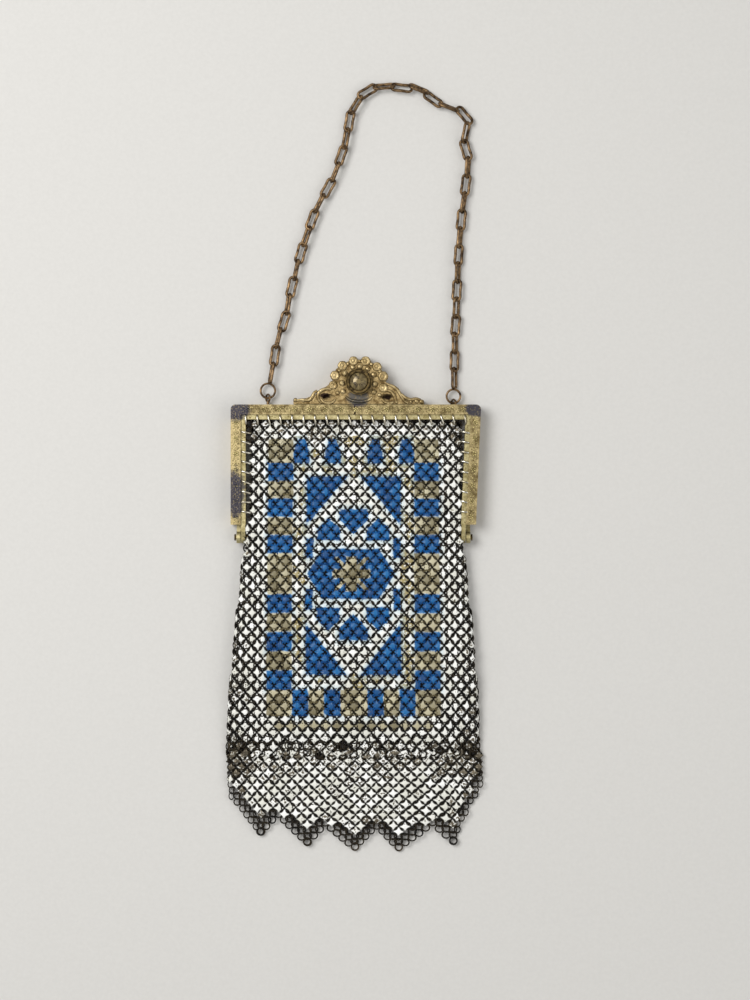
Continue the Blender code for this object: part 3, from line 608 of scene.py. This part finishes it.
def skirt_surface(column, row, side):
    """Points of the skirt. Its rows are counted from the seam, and come down to the drop rings."""
    start = SEAM_Y - 1.6 * MM
    straight = column * 4.68 * MM + MESH_MIDDLE * 0.6
    drawn = np.interp(column, (-11,) + POINT_COLUMNS + (11,), (-51.2 * MM,) + POINT_X + (51.6 * MM,))
    pull = np.clip(row / 6, 0, 1)
    x = straight + (drawn - straight) * pull + 0.2 * MM * np.sin(row * 1.3 + column * 0.4)
    reach = np.interp(column, POINT_COLUMNS, [(start - end) / last for end, last in zip(POINT_Y, POINT_ROWS)])
    y = start - reach * row
    z = (SKIRT_FACE if side > 0 else BACK_FACE) + 0.12 * MM * np.sin(column * 1.1 + row)
    return np.stack([x, y, np.broadcast_to(z, np.shape(x))], -1)


def grid_sites(columns, first_row, last_row, odd):
    """Columns and rows of the tiles (odd 0) or of the rings between them (odd 1)."""
    found = []
    for k in range(round(first_row * 2), round(last_row * 2) + 1):
        for m in range(-columns * 2, columns * 2 + 1):
            if (k + m) % 2 == odd and (odd or k % 2 == m % 2):
                found.append((m / 2, k / 2))
    return np.array(found)


def on_surface(surface, sites, side):
    """Places, turns and stretch of the blanks on a surface."""
    c, r = sites[:, 0], sites[:, 1]
    here = surface(c, r, side)
    right = surface(c + 0.25, r, side) - surface(c - 0.25, r, side)
    above = surface(c, r - 0.25, side) - surface(c, r + 0.25, side)
    out = np.cross(right, above) * side
    sizes = np.stack([np.linalg.norm(right, axis=1) / (0.5 * TILE_X),
                      np.linalg.norm(above, axis=1) / (0.5 * TILE_Y), np.ones(len(c))], 1)
    sizes = np.clip(sizes, 0.55, 1.1) * (1 - 0.05 * np.clip((np.abs(c) - 7.9) / 2, 0, 1))[:, None]
    return here, angles(right * side, out), sizes


# %% [markdown]
# The print is the same on both sides: a frame of blue and old gold blocks, and inside it a panel
# with a blue hexagon, two hearts and four corners. Each shape is a distance that is positive
# inside, in steps of the grid. Two shapes cross where both are positive, so the smaller distance
# is taken, and they join with the larger.

# %% The printed pattern
def between(value, low, high):
    """A band, positive from low to high."""
    return np.minimum(value - low, high - value)


def all_of(*shapes):
    """Where all the shapes cross."""
    return np.minimum.reduce(shapes)


def any_of(*shapes):
    """Where there is any of the shapes."""
    return np.maximum.reduce(shapes)


def print_fields(column, row):
    """Blue, gold and flecked shapes of the print, as distances that are positive inside."""
    a, b = np.abs(column), np.abs(row - 12)
    side_band, end_band = between(a, 5.4, 7.66), between(b, 8.8, 10.75)
    panel = all_of(between(a, -1, 4.19), between(b, -1, 7.7))
    off = np.abs(column + 0.15)
    star = any_of(all_of(0.5 - off, 1.35 - b), all_of(1.7 - off, 0.36 - b), 0.95 - off - b,
                  all_of(0.26 - np.abs(off - 1.1 * b), 1.3 - b))
    hexagon = all_of(1.95 - b, 3.9 - 0.72 * b - np.abs(column + 0.2))
    blue = any_of(
        all_of(side_band, any_of(between(b, 1.6, 3.04), between(b, 4.48, 5.92), between(b, 7.36, 8.8))),
        all_of(end_band, any_of(between(a, 1.2, 2.6), between(a, 4.0, 5.4)) - 0.3 * np.clip(2.4 - row, 0, 2)),
        all_of(panel, (a - 0.6) - 0.92 * (7.7 - b)),
        all_of(between(a, 3.55, 4.19), between(b, 1.2, 2.75)),
        all_of(hexagon, -star),
        all_of(1.25 - a, 5.1 - b, 1.1 * (b - 3.1) - a),
        all_of(1.0 - np.abs(a - 2.2), 1.3 * (4.35 - b) - np.abs(a - 2.2), b - 2.6))
    gold = any_of(
        all_of(side_band, any_of(between(b, -1, 1.6), between(b, 3.04, 4.48), between(b, 5.92, 7.36),
                                 end_band)),
        all_of(end_band, any_of(between(a, -1, 1.2), between(a, 2.6, 4.0)), row - 6),
        star)
    fleck = any_of(all_of(end_band, 5.4 - a, 6 - row), all_of(0.34 - np.abs(a - 4.75), 8.4 - b),
                   all_of(0.34 - np.abs(b - 8.15), 5.1 - a))
    return blue, gold, fleck


def print_pattern(piece, side, plain):
    """Keeps the print on each point of a scattered piece. The back has the same print as the front."""
    mesh = piece.data
    def read(name):
        values = np.empty(len(mesh.vertices), np.float32)
        mesh.attributes[name].data.foreach_get("value", values)
        return values.astype(float)
    column, row = read("column") + side * read("across"), read("row") + read("down")
    blue, gold, fleck = print_fields(column, row)
    if "rings" in piece.name:
        fleck = np.full(len(column), -1.0)
    else:   # one line of whole tiles below the pattern is gold
        line = (np.abs(read("row") - 23.5) < 0.1) & (np.abs(read("column")) < 6.8)
        gold = np.where(line, 0.5 - read("rim") * 0.5, gold)
        flecked = (read("luck") * 7.3) % 1 < np.where(read("column") < 0, 0.3, 0.6)
        fleck = np.where(flecked, fleck + 0.25, -1.0)
    if plain:
        blue, gold, fleck = (np.full(len(column), -1.0) for _ in range(3))
    for label, shape in (("blue", blue), ("gold", gold), ("fleck", fleck)):
        float_attribute(mesh, label, shape)


print("blue beside the middle:", round(float(print_fields(np.array([2.5]), np.array([12.0]))[0][0]), 2))

# %% [markdown]
# Enamel on mesh is thin, baked paint: glossy where whole, worn to brown metal on the high middles
# and along the sides where hands held it. White is a cool ivory, blue a deep cobalt, gold a dull
# bronze paint. Each tile has its own luck, so no two have worn alike. Each tile is darker towards
# its edge, and the bare undersides are painted near black, as shade in the gaps of the mesh.

# %% Baked enamel over brass
def enamel(name, white, blue, gold, metal, wear, gloss, shine, bleed):
    """The enamelled mesh: the dark and the light tone of each colour and of the bare metal, where
    wear starts, the roughness from smooth to matt, the shine, and how far blue bleeds into white."""
    material, tree, shader, where = new_material(name)
    facts = {label: add(tree, "ShaderNodeAttribute", attribute_name=label).outputs["Fac"]
             for label in ("blue", "gold", "fleck", "luck", "rim", "face", "age")}
    blot = add(tree, "ShaderNodeTexNoise", {
        "Vector": where, "Scale": 900.0, "Detail": 3.0, "Roughness": 0.6}).outputs["Fac"]
    cloud = add(tree, "ShaderNodeTexNoise", {"Vector": where, "Scale": 160.0, "Detail": 2.0}).outputs["Fac"]
    def edge(shape, width=0.05):
        ragged = add(tree, "ShaderNodeMath", {0: blot, 1: 0.24, 2: shape}, operation="MULTIPLY_ADD")
        return add(tree, "ShaderNodeMapRange", {
            "Value": ragged, "From Min": 0.12 - width, "From Max": 0.12 + width})
    dots = add(tree, "ShaderNodeMath", {0: blot, 1: 0.43}, operation="SUBTRACT")
    dots = add(tree, "ShaderNodeMath", {0: facts["fleck"], 1: dots}, operation="MINIMUM")
    halo = add(tree, "ShaderNodeMapRange", {
        "Value": facts["blue"], "From Min": -0.5, "From Max": -0.05, "To Max": bleed})
    # Each tile is darker towards its outer edge and down its sides.
    rim_darkening = add(tree, "ShaderNodeMapRange", {
        "Value": facts["rim"], "From Min": 0.76, "From Max": 1.0, "To Max": 0.8})
    high = add(tree, "ShaderNodeMapRange", {"Value": facts["rim"], "To Min": 1.12, "To Max": 0.86})
    worn = add(tree, "ShaderNodeMath", {0: facts["age"], 1: high}, operation="MULTIPLY")
    worn = add(tree, "ShaderNodeMath", {0: worn, 1: blot}, operation="MULTIPLY")
    worn = add(tree, "ShaderNodeMapRange", {
        "Value": worn, "From Min": wear, "From Max": wear + 0.08})
    # Painted shade: the bare undersides of tiles and rings are near black, so the gaps through the mesh look
    # shadowed.
    under = add(tree, "ShaderNodeMath", {0: facts["face"], 1: 0.5}, operation="LESS_THAN")
    luck = facts["luck"]
    colour = coats(
        tree, coats(tree, white[0], (luck, white[1])), (edge(dots, 0.03), "#A39462"), (halo, "#9CC3D6"),
        (edge(facts["gold"]), coats(tree, gold[0], (luck, gold[1]))),
        (edge(facts["blue"]), coats(tree, blue[0], (luck, blue[1]))),
        (rim_darkening, "#3A342A"), (worn, coats(tree, metal[0], (cloud, metal[1]))), (under, "#241F1A"))
    set_surface(tree, shader, colour, blot, gloss, 0.05 * MM)
    metallic = add(tree, "ShaderNodeMath", {0: worn, 1: 0.8}, operation="MULTIPLY")
    tree.links.new(metallic.outputs[0], shader.inputs["Metallic"])
    shader.inputs["Specular IOR Level"].default_value = shine
    return material


TILE_ENAMEL = enamel("baked_enamel_on_brass_tile", ("#DEDDD2", "#FBFBF8"), ("#00437A", "#0868A6"),
                     ("#786F52", "#C9C1A2"), ("#3E372E", "#857C6A"), 0.60, (0.28, 0.5), 0.5, 0.5)
RING_ENAMEL = enamel("enamelled_wire_ring", ("#0C0A08", "#2C261E"), ("#00366C", "#0A5292"),
                     ("#3A3220", "#665C40"), ("#16130F", "#4A4234"), 0.62, (0.5, 0.75), 0.18, 0.0)
print("made", TILE_ENAMEL.name, RING_ENAMEL.name)

# %% [markdown]
# A layer of mesh is two pieces: all its tiles, and all its rings. Hands and time work unevenly, so
# each blank gets its own age, a small shift and a small turn. Where the pouch is gathered into its
# seam the mesh is pushed up, some tiles are lost, and a row of joining rings lies over them.

# %% Front and back of tiles and rings
chance = np.random.RandomState(11)
SEAM_STARTS, FOLDS_START = 24.2, 7.8   # the row and the column from which the mesh is pushed or folded
BETWEEN_LEGS = 43.2 * MM               # how far the tiles reach on each side inside the frame


def age_of(sites, plain):
    """How worn each blank is: more at the sides, at the top, at the seam and at the skirt's edge.
    At the seam the darker worn tiles also stand for painted shade where the pouch folds.
    """
    c, r = np.abs(sites[:, 0]), sites[:, 1]
    base = 0.55 + 0.42 * np.clip((c - 7.9) / 2.2, 0, 1) + 0.5 * np.clip((2.6 - r) / 2, 0, 1)
    # Partly painted shade: the extra age darkens the band where the pouch folds into the seam.
    base = base + 0.6 * np.clip(r - SEAM_STARTS, 0, 1)
    if plain:
        base = base + 0.28 * np.clip((r - 3.8) / 2, 0, 1)
    return base + chance.uniform(0, 0.85 if plain else 0.66, len(c)) ** 2.0


def mesh_layer(name, surface, side, tiles, rings, tilt=0.10, plain=False):
    """The tiles and the rings of one layer of the mesh, as two pieces."""
    made = []
    for label, blank, finish, sites, wobble in (("tiles", tile, TILE_ENAMEL, tiles, tilt),
                                                ("rings", ring, RING_ENAMEL, rings, 0.12)):
        pushed = np.clip(sites[:, 1] - SEAM_STARTS, 0, 1)
        if plain:
            pushed = pushed + np.clip(0.9 - sites[:, 1], 0, 1)
        if label == "tiles":   # some tiles are lost or turned under where the seam bunches the mesh
            kept = chance.uniform(0, 1, len(sites)) > 0.06 * pushed
            sites, pushed = sites[kept], pushed[kept]
        places, turns, sizes = on_surface(surface, sites, side)
        if label == "rings":   # the rings that join pouch and skirt lie over the tiles
            places[:, 2] += 0.12 * MM * side * pushed
        elif plain:
            places[:, 2] += 0.14 * MM * side
        if label == "tiles" and not plain:   # the sides lie in folds, so their tiles are seen at a slant
            folded = np.abs(sites[:, 0]) > FOLDS_START
            sizes[:, 0] *= np.where(folded, chance.uniform(0.8, 1.0, len(sites)), 1.0)
        jitter = chance.uniform(-0.16, 0.16, places.shape) * MM * (1, 1, 0.6) * (1 + 2 * pushed[:, None])
        piece = scattered(name + "_" + label, blank, finish, places + jitter, turns, sizes, wobble, 5 + side,
                          column=sites[:, 0], row=sites[:, 1], luck=chance.uniform(0, 1, len(sites)),
                          age=age_of(sites, plain))
        print_pattern(piece, side, plain)
        made.append(piece)
    return made


def bag_sites(odd, shift=0.0):
    """Sites on the front or back: fewer columns between the legs than below the hinge."""
    sites = grid_sites(12, 0, SEAM_ROW + 0.3, odd) + (shift, 0)
    y = row_height(sites[:, 1])
    _, half = down_and_half(y, 0.6 * MM)
    across = out_from_middle(sites[:, 0], sites[:, 1])
    between_legs = np.abs(across + MESH_MIDDLE) < BETWEEN_LEGS + odd * 1.4 * MM
    return sites[np.where(y > HINGE_Y + 5 * MM, between_legs, np.abs(across) < half + 0.6 * MM)]


seam_rings = [(k + 0.25, 24.9 + 0.15 * math.sin(2.1 * k)) for k in range(-11, 11)]
front_rings_at = np.concatenate([bag_sites(1), seam_rings])
front_tiles, front_rings = mesh_layer("front_mesh", bag_surface, 1, bag_sites(0), front_rings_at)
back_tiles, back_rings = mesh_layer("back_mesh", bag_surface, -1, bag_sites(0, 0.5), bag_sites(1, 0.5))
for piece in (front_tiles, front_rings):
    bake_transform(piece)
for piece in (back_tiles, back_rings):
    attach(piece, "back_frame_and_bag")
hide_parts("front_mesh_panel", "mesh_pouch")
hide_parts("back_mesh_panel")

# %% [markdown]
# The skirt is a plain fringe of the same mesh below the seam, cut into five points. The last rows
# are bare rings without tiles, and one larger ring hangs from each point.

# %% The skirt
def skirt_edge(c):
    """The lowest row of rings in a column, and the lowest row of tiles."""
    away = [np.abs(c - middle) for middle in POINT_COLUMNS]
    steep = np.where(c < 0, 1.0, 1.6)
    slope = np.where(np.abs(c) > 8, steep, 1)
    rings = np.max([last - far * slope for far, last in zip(away, POINT_ROWS)], axis=0)
    tiles = np.max([last - 1.5 - 0.5 * far for far, last in zip(away, POINT_ROWS)], axis=0)
    return rings, np.where(np.abs(c) > 8, rings - 1.2, tiles)


def skirt_sites(odd, shift=0.0):
    """Tiles stop a row or two above the zigzag edge, and rings go down to it."""
    sites = grid_sites(12, 0, 8, odd) + (shift, 0)
    c, r = sites[:, 0], sites[:, 1]
    rings, tiles = skirt_edge(c)
    return sites[(r <= (rings if odd else tiles) + 0.01) & (np.abs(c) <= 11.1) & (r >= 0)]


skirt_front = mesh_layer("skirt_front", skirt_surface, 1, skirt_sites(0), skirt_sites(1), 0.11, True)
skirt_back = mesh_layer("skirt_back", skirt_surface, -1, skirt_sites(0, 0.5), skirt_sites(1, 0.5), plain=True)
for piece in skirt_front + skirt_back:
    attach(piece, "back_frame_and_bag")
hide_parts("mesh_skirt")

# %% [markdown]
# The mesh hangs from the frame on loops of bright wire. Each loop comes out of a hole beside the
# stamped cover, passes over the plain strip and takes the first row of rings.

# %% Lacing loops
TOP_LOOPS, TOP_STEP, LEG_LOOPS, LEG_STEP = 20, 4.76 * MM, 9, 4.1 * MM
LOOP_LONG, LOOP_HIGH, LOOP_WIRE = 2.1 * MM, 1.15 * MM, 0.84 * MM   # half its length and height, and its wire


def loop_blank():
    """One flat turn of wire, long along Y, standing on its edge in the YZ plane."""
    path = [(0, LOOP_LONG * math.cos(a), LOOP_HIGH * math.sin(a)) for a in np.arange(14) * math.pi / 7]
    return hidden_blank(bent_wire("loop_blank", path, LOOP_WIRE / 2, sides=7, closed=True))


loop = loop_blank()


def lacing(name, side, z, body):
    """Loops along the top and down both legs of one frame half."""
    chance = np.random.RandomState(20 + side)
    places, ways = [], []
    for k in range(TOP_LOOPS):
        places.append((-45.4 * MM + k * TOP_STEP, FRAME_TOP - 6.1 * MM, z))
        ways.append((1, chance.uniform(0.05, 0.32), 0))
    for sign in (-1, 1):
        for k in range(LEG_LOOPS):
            lean = 0.45 * MM * k / LEG_LOOPS if sign > 0 else 0   # the right leg leans in
            places.append((sign * (FRAME_HALF - 6.0 * MM) - lean, FRAME_TOP - 11.5 * MM - k * LEG_STEP, z))
            ways.append((sign * chance.uniform(0.05, 0.4), sign, 0))
    ups = [(0, 0, 1)] * len(places)
    piece = scattered(name, loop, SILVER_WIRE, places, angles(ways, ups), tilt=0.06, seed=9 + side)
    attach(piece, body)


lacing("front_lacing", 1, 6.6 * MM, "front_frame")
lacing("back_lacing", -1, 1.75 * MM, "back_frame_and_bag")

# %% [markdown]
# ## Stamped ornament
# The crest is one stamping: eight dimpled rosettes round the stone, small beads between them, and
# scrolls that run down to the frame. A stamping is low and soft at its edges, so each rosette is a
# low dome with a dimple and petals, each bead a low dome, and each scroll a wire that tapers.

# %% Rosettes, beads and scrolls of the crest
def turned_dome(work, centre, profile, petals=0, depth=0.0, sides=20):
    """A low turned form. The profile is (radius, height) from the edge to the middle, in metres."""
    rings = []
    for radius, height in profile[:-1]:
        ring = []
        for k in range(sides):
            a = 2 * math.pi * k / sides
            grown = radius * (1 + depth * math.cos(petals * a))
            ring.append(work.verts.new((centre[0] + grown * math.cos(a), centre[1] + grown * math.sin(a),
                                        centre[2] + height)))
        rings.append(ring)
    middle = work.verts.new((centre[0], centre[1], centre[2] + profile[-1][1]))
    for a, b in zip(rings, rings[1:]):
        for k in range(sides):
            work.faces.new((a[k], a[(k + 1) % sides], b[(k + 1) % sides], b[k]))
    for k in range(sides):
        work.faces.new((rings[-1][k], rings[-1][(k + 1) % sides], middle))
    work.faces.new(rings[0][::-1])


# Middles and radii are in millimetres from the middle of the stone, and each scroll is a row of points.
ROSETTES = ((-2.1, 8.6, 1.9), (2.9, 8.5, 2.0), (-6.6, 6.6, 2.0), (7.6, 6.2, 1.9), (-9.7, 2.6, 2.0),
            (10.1, 2.2, 2.1), (-10.5, -1.4, 1.8), (10.2, -2.5, 1.9))
BEADS = ((-2.4, 5.9, 1.1), (0.5, 6.2, 1.2), (3.8, 5.3, 1.1), (-5.7, 3.4, 1.3), (6.2, 2.9, 1.3),
         (-6.8, -0.6, 1.3), (6.7, -1.0, 1.3), (-6.4, -4.0, 1.2), (6.3, -4.2, 1.2), (-8.6, -4.6, 0.9),
         (8.6, -5.4, 0.9), (0.4, 8.4, 0.8), (-4.4, 7.4, 0.8), (5.3, 7.2, 0.8), (-8.0, 4.6, 0.8),
         (8.7, 4.2, 0.8), (-26.0, -7.6, 0.95), (23.9, -8.0, 1.0), (25.9, -8.2, 0.95),
         (-22.8, -7.9, 0.7), (21.6, -8.3, 0.7))
SCROLLS = (((11.7, -0.9), (14.0, -1.8), (15.9, -3.2), (17.3, -5.4), (18.8, -7.8), (20.6, -9.0)),
           ((11.2, -3.4), (13.2, -4.0), (14.6, -5.6), (15.2, -7.4), (15.6, -9.0)),
           ((-11.4, -3.1), (-13.2, -2.9), (-15.4, -3.6), (-16.8, -5.2), (-16.4, -7.4), (-15.2, -8.9)),
           ((-17.0, -3.6), (-18.3, -4.6), (-19.2, -6.3), (-20.6, -7.6), (-23.0, -7.4), (-25.6, -7.6)),
           ((-15.6, -7.0), (-14.4, -8.4), (-12.6, -8.9), (-10.8, -8.4), (-9.6, -7.2)),
           ((9.8, -7.4), (11.2, -8.6), (13.0, -8.9), (14.4, -8.2)),
           ((-5.4, -6.0), (-3.6, -7.4), (-1.2, -8.0), (1.6, -8.1), (4.2, -7.4), (5.6, -6.2)),
           ((17.6, -5.0), (19.4, -6.6), (21.4, -7.4), (23.6, -7.0), (25.6, -7.4)))
CREST_LIGHT = gilt("gilt_crest_relief", "#D2BC8C", "#907A50", "#5E5A54", 0.08 * MM, CREST_SPOT,
                   hollow=(CREST_FACE - HINGE_Z, CREST_FACE - HINGE_Z + 0.6 * MM))


# Each profile is (share of the radius, share of it as height, height in millimetres) from the edge in.
ROSETTE_PROFILE = ((1, 0, 0), (0.98, 0, 0.55), (0.74, 0, 0.95), (0.46, 0, 0.72), (0.30, 0, 0.62),
                   (0.16, 0, 0.86), (0, 0, 0.92))
BEAD_PROFILE = ((1, 0, 0), (0.92, 0.4, 0.1), (0.62, 0.66, 0.1), (0.3, 0.78, 0.1), (0, 0.82, 0.1))


def crest_ornament():
    """The rosettes and beads as one piece, and each scroll as its own."""
    def on_crest(x, y, lift):
        return Vector((STONE.x + x * MM, STONE.y + y * MM, CREST_FACE + lift * MM))
    work = bmesh.new()
    for domes, profile, shape in ((ROSETTES, ROSETTE_PROFILE, dict(petals=6, depth=0.06, sides=24)),
                                  (BEADS, BEAD_PROFILE, dict(sides=14))):
        for x, y, radius in domes:
            turned_dome(work, on_crest(x, y, -0.15), [(radius * share * MM, (radius * tall + height) * MM)
                                                      for share, tall, height in profile], **shape)
    piece = finished("crest_rosettes", work, CREST_LIGHT)
    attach(piece, "front_frame")
    for number, points in enumerate(SCROLLS, 1):
        way = smooth_way([on_crest(x, y, 0.12) for x, y in points], 5)
        radii = [(0.32 + 0.42 * math.sin(math.pi * (0.15 + 0.75 * k / (len(way) - 1)))) * MM
                 for k in range(len(way))]
        scroll = bent_wire("crest_scroll_%d" % number, way, radii)
        scroll.data.materials.append(CREST_LIGHT)
        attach(scroll, "front_frame")
    print("crest:", len(ROSETTES), "rosettes,", len(BEADS), "beads,", len(SCROLLS), "scrolls")


crest_ornament()

# %% [markdown]
# The push button holds a paste stone, which is glass cut with rays round a small flat table and
# backed with foil. Each ray is a flat facet with its own tone, a painted reflection of the foil, so
# the facets are not smoothed.

# %% The stone
def stone_material():
    """Cut glass over foil: each facet has its own tone, painted as the foil's reflection in it."""
    material, tree, shader, where = new_material("foiled_paste_glass")
    tone = add(tree, "ShaderNodeAttribute", attribute_name="tone").outputs["Fac"]
    tree.links.new(coats(tree, "#33281A", (tone, "#948258")), shader.inputs["Base Color"])
    shader.inputs["Roughness"].default_value = 0.25
    shader.inputs["IOR"].default_value = 1.6
    shader.inputs["Metallic"].default_value = 0.35
    return material


FACETS = 16


def cut_stone():
    """The stone: a girdle, a crown of rays and a small flat table."""
    radius = (STONE_HIGH[0] - STONE_LOW[0]) / 2 - 0.02 * MM
    top = STONE_HIGH[2] - STONE_LOW[2]
    work = bmesh.new()
    def ring(share, height, twist=0.0):
        turns = [2 * math.pi * (k + twist) / FACETS for k in range(FACETS)]
        return [work.verts.new(STONE + Vector((radius * share * math.cos(a), radius * share * math.sin(a),
                                               height))) for a in turns]
    low, girdle = ring(1, 0.05 * MM), ring(1, top * 0.35)
    crown, table = ring(0.62, top * 0.86, 0.5), ring(0.26, top * 0.98)
    for k in range(FACETS):
        j = (k + 1) % FACETS
        for corners in ((low[k], low[j], girdle[j], girdle[k]), (girdle[k], girdle[j], crown[k]),
                        (girdle[j], crown[j], crown[k]), (crown[k], crown[j], table[j]),
                        (crown[k], table[j], table[k])):
            work.faces.new(corners)
    work.faces.new(table)
    work.faces.new(low[::-1])
    piece = finished("cut_stone", work, stone_material(), smooth=False)
    # Painted reflection: each facet gets a random tone for the foil glinting through it.
    painted_facet_reflections = np.random.RandomState(8).uniform(0, 1, len(piece.data.polygons))
    attribute = piece.data.attributes.new("tone", "FLOAT", "FACE")
    attribute.data.foreach_set("value", painted_facet_reflections.astype(np.float32))
    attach(piece, "clasp_button")
    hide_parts("paste_stone")


cut_stone()

# %% [markdown]
# The covers of the frame are stamped with a running pattern of small flowers and leaves. One
# repeat is made once, and the same scatter tree lays it along the top and down both legs.

# %% The stamped border
LEAVES = ((1.9, 0.75, 0.7), (2.1, -0.7, -0.6), (-1.9, -0.75, 0.7), (-2.1, 0.7, -0.6), (2.9, 0.1, 0.15))


def border_blank():
    """One repeat of the border, along X: a flower between two sprays of leaves."""
    work = bmesh.new()
    for k in range(5):
        a = 2 * math.pi * k / 5 + 0.3
        turned_dome(work, (0.78 * MM * math.cos(a), 0.78 * MM * math.sin(a), 0),
                    [(0.52 * MM, 0), (0.42 * MM, 0.24 * MM), (0, 0.32 * MM)], sides=8)
    turned_dome(work, (0, 0, 0), [(0.4 * MM, 0.1 * MM), (0.3 * MM, 0.4 * MM), (0, 0.46 * MM)], sides=8)
    for x, y, way in LEAVES:
        start = len(work.verts)
        turned_dome(work, (0, 0, 0), [(0.8 * MM, 0), (0.5 * MM, 0.24 * MM), (0, 0.3 * MM)], sides=8)
        work.verts.ensure_lookup_table()
        turn = (Matrix.Translation((x * MM, y * MM, 0)) @ Matrix.Rotation(way, 4, "Z")
                @ Matrix.Diagonal((1, 0.45, 1, 1)))
        for vertex in work.verts[start:]:
            vertex.co = turn @ vertex.co
    return hidden_blank(finished("border_blank", work))


BORDER_GILT = gilt("gilt_border_relief", "#D2C28A", "#9A8B5E", "#55525A", 0.06 * MM,
                   hollow=(FRONT_FACE - HINGE_Z - 0.03 * MM, FRONT_FACE - HINGE_Z + 0.2 * MM))
border = border_blank()
BORDER_STEP = 6.2 * MM
COVER_WIDTH = 4.1 * MM   # the stamped cover of the frame
LEG_LEAN = 0.045         # how far the right leg leans in for each metre down


def border_line(name, z, up, body):
    """The border's repeats along the top and down both legs of one frame half."""
    places, ways = [], []
    middle = COVER_WIDTH / 2
    length = 2 * FRAME_HALF - 8 * MM
    count = round(length / BORDER_STEP)
    for k in range(count):
        places.append((-FRAME_HALF + 4 * MM + (k + 0.5) * length / count, FRAME_TOP - middle, z))
        ways.append((1, 0, 0))
    drop = FRAME_TOP - COVER_WIDTH - LEG_FOOT
    count = round(drop / BORDER_STEP)
    for sign in (-1, 1):
        for k in range(count):
            share = (k + 0.5) / count
            lean = 2.1 * MM * share if sign > 0 else 0
            places.append((sign * (FRAME_HALF - middle) - lean, FRAME_TOP - COVER_WIDTH - share * drop, z))
            ways.append((LEG_LEAN if sign > 0 else 0, 1, 0))
    piece = scattered(name, border, BORDER_GILT, places, angles(ways, [(0, 0, up)] * len(places)), seed=2)
    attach(piece, body)


border_line("front_border", FRONT_FACE - 0.05 * MM, 1, "front_frame")
border_line("back_border", 0.16 * MM, -1, "back_frame_and_bag")

# %% [markdown]
# The frame, the rivets, the crest plates, the button, the eyes, the rings and the catch come ready
# made. They keep their shapes and only get their finish.

# %% Finishes of the ready-made pieces
FINISHES = {
    GILT: ("front_frame_channel", "back_frame_channel"),
    PALE_STRIP: ("front_mesh_rail", "back_mesh_rail"),
    CREST_GILT: ("crest_front", "crest_back"),
    BUTTON_BRASS: ("stone_bezel", "button_collar", "button_stem", "hinge_rivet_left", "hinge_rivet_right"),
    CHAIN_BRASS: ("chain_eye_left", "chain_eye_right", "chain_ring_left", "chain_ring_right"),
    RING_BRASS: tuple("drop_ring_%d" % n for n in range(1, 6)),
    SPRING_STEEL: ("catch_tongue", "catch_anchor", "catch_keeper"),
}
for finish, names in FINISHES.items():
    for name in names:
        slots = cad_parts[name].material_slots
        for place in slots:
            place.material = finish
        if not slots:
            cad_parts[name].data.materials.append(finish)
print("coated", sum(len(names) for names in FINISHES.values()), "pieces")

# %% [markdown]
# ## Studio
# A plain pale floor and large soft lights from above and from the left, as in a small studio.

# %% Floor and lights
FLOOR_HALF, FLOOR_Z = 3, -0.4 * MM
LOOKED_AT = (0, 0.03, 0)


def floor():
    """A square of matt paper just under the bag."""
    corners = [(x * FLOOR_HALF, y * FLOOR_HALF, FLOOR_Z) for x, y in ((-1, -1), (1, -1), (1, 1), (-1, 1))]
    mesh = bpy.data.meshes.new("floor")
    mesh.from_pydata(corners, [], [(0, 1, 2, 3)])
    material, tree, shader, where = new_material("matt_pale_paper")
    fibre = add(tree, "ShaderNodeTexNoise", {"Vector": where, "Scale": 700.0, "Detail": 3.0}).outputs["Fac"]
    tree.links.new(coats(tree, "#CFCDC9", (fibre, "#D8D6D2")), shader.inputs["Base Color"])
    shader.inputs["Roughness"].default_value = 0.9
    mesh.materials.append(material)
    new_object("floor", mesh)


floor()


def soft_light(name, place, size, power):
    """A square soft box that looks at the bag."""
    data = bpy.data.lights.new(name, "AREA")
    data.size = size
    data.energy = power
    lamp = bpy.data.objects.new(name, data)
    bpy.context.scene.collection.objects.link(lamp)
    lamp.location = place
    lamp.rotation_euler = (Vector(LOOKED_AT) - Vector(place)).to_track_quat("-Z", "Y").to_euler()


soft_light("key_light", (-0.55, 0.35, 0.95), 0.6, 9.5)
soft_light("fill_light", (0.8, -0.2, 0.9), 0.9, 3.4)
world = bpy.data.worlds.new("studio")
world.use_nodes = True
sky = world.node_tree.nodes["Background"].inputs
sky["Color"].default_value, sky["Strength"].default_value = linear("#F2F2F0"), 0.45
bpy.context.scene.world = world
bpy.context.scene.view_settings.view_transform = "Standard"
print("two soft lights and a pale sky")
